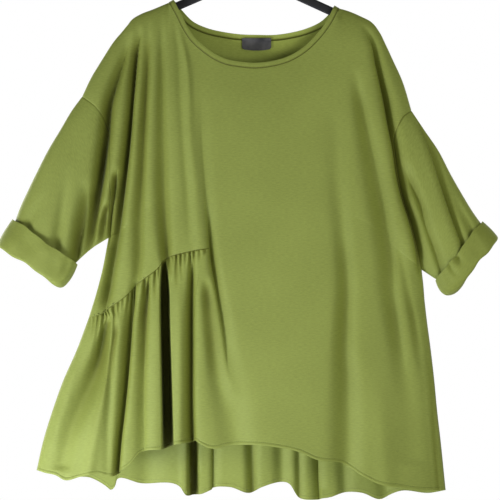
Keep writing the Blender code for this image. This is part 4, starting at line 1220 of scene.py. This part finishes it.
label_across = np.linspace(LABEL["left"], LABEL["right"], LABEL_COLUMNS)
label_share = np.linspace(0, 1, LABEL_COLUMNS)
side_gap = np.minimum(label_across - LABEL["left"], LABEL["right"] - label_across)
in_corner = np.clip(LABEL["corner"] - side_gap, 0, None)
cut = LABEL["corner"] - np.sqrt(np.clip(LABEL["corner"] ** 2 - in_corner**2, 0, None))
label_length = LABEL["low"] - LABEL["top"] + LABEL["sag"] * np.sin(np.pi * label_share) - cut
label_flat = np.zeros((LABEL_ROWS, LABEL_COLUMNS, 2))
label_flat[..., 0] = label_across
label_flat[..., 1] = LABEL["top"] + np.linspace(0, 1, LABEL_ROWS)[:, None] * label_length[None]
label_grid = hung(
    label_flat, np.full(LABEL_COLUMNS, 0.5), np.zeros(LABEL_ROWS), back_top, "back", NECK_BACK_DEPTH, [], 1,
    extra=-(CLOTH + LABEL_STAND_OFF) + LABEL_WAVE[0] * np.sin(LABEL_WAVE[1] * label_share)[None],
)
label_piece = piece_of(label_grid, label_flat, quads_of(LABEL_ROWS, LABEL_COLUMNS), flip=True)
all_free = np.ones(len(label_piece.points), bool)
satin_label = wall("satin_label", label_piece, satin("grey satin"), LABEL_THICK, free=all_free)

# %% [markdown]
# ## Stitches
#
# Both hems are held by a row of thread above the edge, and the neck's binding by one along its seam. A
# geometry nodes tree walks along a line at one pitch and lays a small spindle of thread at each step.

# %% Stitches
STITCH_SIZES = {"Pitch": 0.0034, "Length": 0.0026, "Radius": 0.00036}
HEM_ROW = -7
# The neck's row: its share of the band's width, and its height on the crown
NECK_ROW = 0.16
NECK_ROW_HEIGHT = BAND_CROWN * 0.5 + 0.3
THREAD_PROUD = 0.25


def stitch_tree(material):
    """Nodes that turn a line of mesh edges into a row of stitches."""
    tree = bpy.data.node_groups.new("stitches along a line", "GeometryNodeTree")
    tree.interface.new_socket("Geometry", in_out="INPUT", socket_type="NodeSocketGeometry")
    for name in STITCH_SIZES:
        tree.interface.new_socket(name, in_out="INPUT", socket_type="NodeSocketFloat")
    tree.interface.new_socket("Geometry", in_out="OUTPUT", socket_type="NodeSocketGeometry")
    given = tree.nodes.new("NodeGroupInput")
    result = tree.nodes.new("NodeGroupOutput")
    curve = tree.nodes.new("GeometryNodeMeshToCurve")
    steps = tree.nodes.new("GeometryNodeResampleCurve")
    steps.mode = "LENGTH"
    tangent = tree.nodes.new("GeometryNodeInputTangent")
    turn = tree.nodes.new("FunctionNodeAlignRotationToVector")
    turn.axis = "Z"
    spindle = tree.nodes.new("GeometryNodeMeshUVSphere")
    spindle.inputs["Segments"].default_value = 6
    spindle.inputs["Rings"].default_value = 4
    slender = maths(tree, "DIVIDE", given.outputs["Length"], given.outputs["Radius"])
    scale = tree.nodes.new("ShaderNodeCombineXYZ")
    scale.inputs["X"].default_value = 1.0
    scale.inputs["Y"].default_value = 1.0
    tree.links.new(maths(tree, "MULTIPLY", slender, 0.5), scale.inputs["Z"])
    placed = tree.nodes.new("GeometryNodeInstanceOnPoints")
    real = tree.nodes.new("GeometryNodeRealizeInstances")
    paint = tree.nodes.new("GeometryNodeSetMaterial")
    paint.inputs["Material"].default_value = material
    for start, output, end, socket in (
        (given, "Geometry", curve, "Mesh"), (curve, "Curve", steps, "Curve"),
        (given, "Pitch", steps, "Length"), (tangent, "Tangent", turn, "Vector"),
        (given, "Radius", spindle, "Radius"), (steps, "Curve", placed, "Points"),
        (spindle, "Mesh", placed, "Instance"), (turn, "Rotation", placed, "Rotation"),
        (scale, "Vector", placed, "Scale"), (placed, "Instances", real, "Geometry"),
        (real, "Geometry", paint, "Geometry"), (paint, "Geometry", result, "Geometry"),
    ):
        tree.links.new(start.outputs[output], end.inputs[socket])
    return tree


def thread(name, colour):
    """Spun polyester thread: two plies twisted, a little glossier than the knit."""
    made, tree, shader = new_material(name, Roughness=0.55)
    twist = noise(tree, Scale=2500.0, Detail=2.0)
    feed(tree, shader, Base_Color=varied(tree, twist, colour, 0.25))
    return made


stitches_of = stitch_tree(thread("green thread", (0.17, 0.205, 0.035)))


def stitched(name, lines, closed=False):
    """Rows of stitches along lines of points in millimetres, as one plain object."""
    corners, edges, first = [], [], 0
    for points in lines:
        corners.extend(along_sight(np.asarray(points)).tolist())
        edges.extend((first + i, first + i + 1) for i in range(len(points) - 1))
        if closed:
            edges.append((first + len(points) - 1, first))
        first += len(points)
    mesh = bpy.data.meshes.new(name + "_path")
    mesh.from_pydata(corners, edges, [])
    path = bpy.data.objects.new(name + "_path", mesh)
    bpy.context.scene.collection.objects.link(path)
    modifier = path.modifiers.new("stitches", "NODES")
    modifier.node_group = stitches_of
    for item in stitches_of.interface.items_tree:
        if item.name in STITCH_SIZES:
            modifier[item.identifier] = STITCH_SIZES[item.name]
    evaluated = path.evaluated_get(bpy.context.evaluated_depsgraph_get())
    plain = bpy.data.meshes.new_from_object(evaluated)
    bpy.data.objects.remove(path)
    plain.shade_smooth()
    made = bpy.data.objects.new(name, plain)
    bpy.context.scene.collection.objects.link(made)
    print(f"{name}: {len(plain.polygons)} faces")
    return made


toward = np.array([0.0, -THREAD_PROUD, 0.0])
front_hem_line = np.concatenate([inset_grid[HEM_ROW, 2:-2, :3], low_front[HEM_ROW, 1:-2, :3]]) + toward
back_hem_line = back_grid[HEM_ROW, 3:-3, :3]
hem_stitches = stitched("hem_stitches", [front_hem_line])
back_stitches = stitched(
    "back_stitches", [back_hem_line - toward, back_hem_line + toward - np.array([0.0, CLOTH, 0.0])]
)
neck_line = neck_ring + inward * BAND_WIDTH * NECK_ROW + outward * (NECK_ROW_HEIGHT + THREAD_PROUD)
neck_stitches = stitched("neck_stitches", [neck_line], closed=True)

# %% [markdown]
# ## Hanger
#
# The bar and the hook keep their modelled shape and get a finish: black moulded plastic with a fine
# grain, and black lacquered wire.

# %% Hanger
GRAIN_ROUGHNESS = 0.08


def plastic(name, colour, roughness, grain, metallic=0.0):
    """Moulded or lacquered black: a fine grain in the bump and in the roughness."""
    made, tree, shader = new_material(name, Metallic=metallic)
    grainy = noise(tree, Scale=grain, Detail=4.0)
    low, high = roughness - GRAIN_ROUGHNESS, roughness + GRAIN_ROUGHNESS
    rough = node_of(tree, "ShaderNodeMapRange", Value=grainy, To_Min=low, To_Max=high)
    feed(tree, shader, Base_Color=varied(tree, grainy, colour, 0.2), Roughness=rough.outputs["Result"])
    embossed(tree, shader, grainy, 0.2, 0.0002)
    return made


def dress(node, material):
    """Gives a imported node's object one finish."""
    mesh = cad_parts[node].data
    mesh.materials.clear()
    mesh.materials.append(material)


dress("hanger_bar", plastic("black plastic", (0.009, 0.0088, 0.0085), 0.55, 1500))
dress("hanger_hook", plastic("black wire", (0.02, 0.02, 0.021), 0.32, 800, 0.6))

# %% [markdown]
# ## Pieces on the body
#
# Every piece rides on the one body and stands for its solid, which is hidden, and its stitches ride
# along with it. The table also gives each piece's finish and the size of its cut: for the sleeves and
# cuffs that is the whole tube, laid flat.

# %% Pieces on the body
PARTS = [
    (front_cloth, "front_panel", "jersey", (0.64, 0.86), "hung", 0.42),
    (inset_cloth, "gathered_inset", "jersey", (0.42, 0.40), "gathered", 0.12),
    (back_cloth, "back_panel", "jersey", (0.76, 0.88), "hung", 0.55),
    (sleeve_left, "sleeve_left", "jersey", (0.52, 0.22), "hung", 0.08),
    (sleeve_right, "sleeve_right", "jersey", (0.52, 0.22), "hung", 0.07),
    (cuff_left, "cuff_left", "jersey", (0.31, 0.10), "folded", 0.03), (cuff_right, "cuff_right", "jersey",
    (0.31, 0.10), "folded", 0.03), (neck_binding, "neck_band", "jersey", (0.72, 0.012), "hung", 0.007),
    (satin_label, "label_blank", "label_satin", (0.050, 0.022), "hung", 0.001),
]
THREADS = {"front_panel": [hem_stitches], "back_panel": [back_stitches], "neck_band": [neck_stitches]}
for made, node, slot, flat_size, held, flat_area in PARTS:
    threads = THREADS.get(node, [])
    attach(made, "root")
    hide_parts(node)
    for row in threads:
        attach(row, "root")
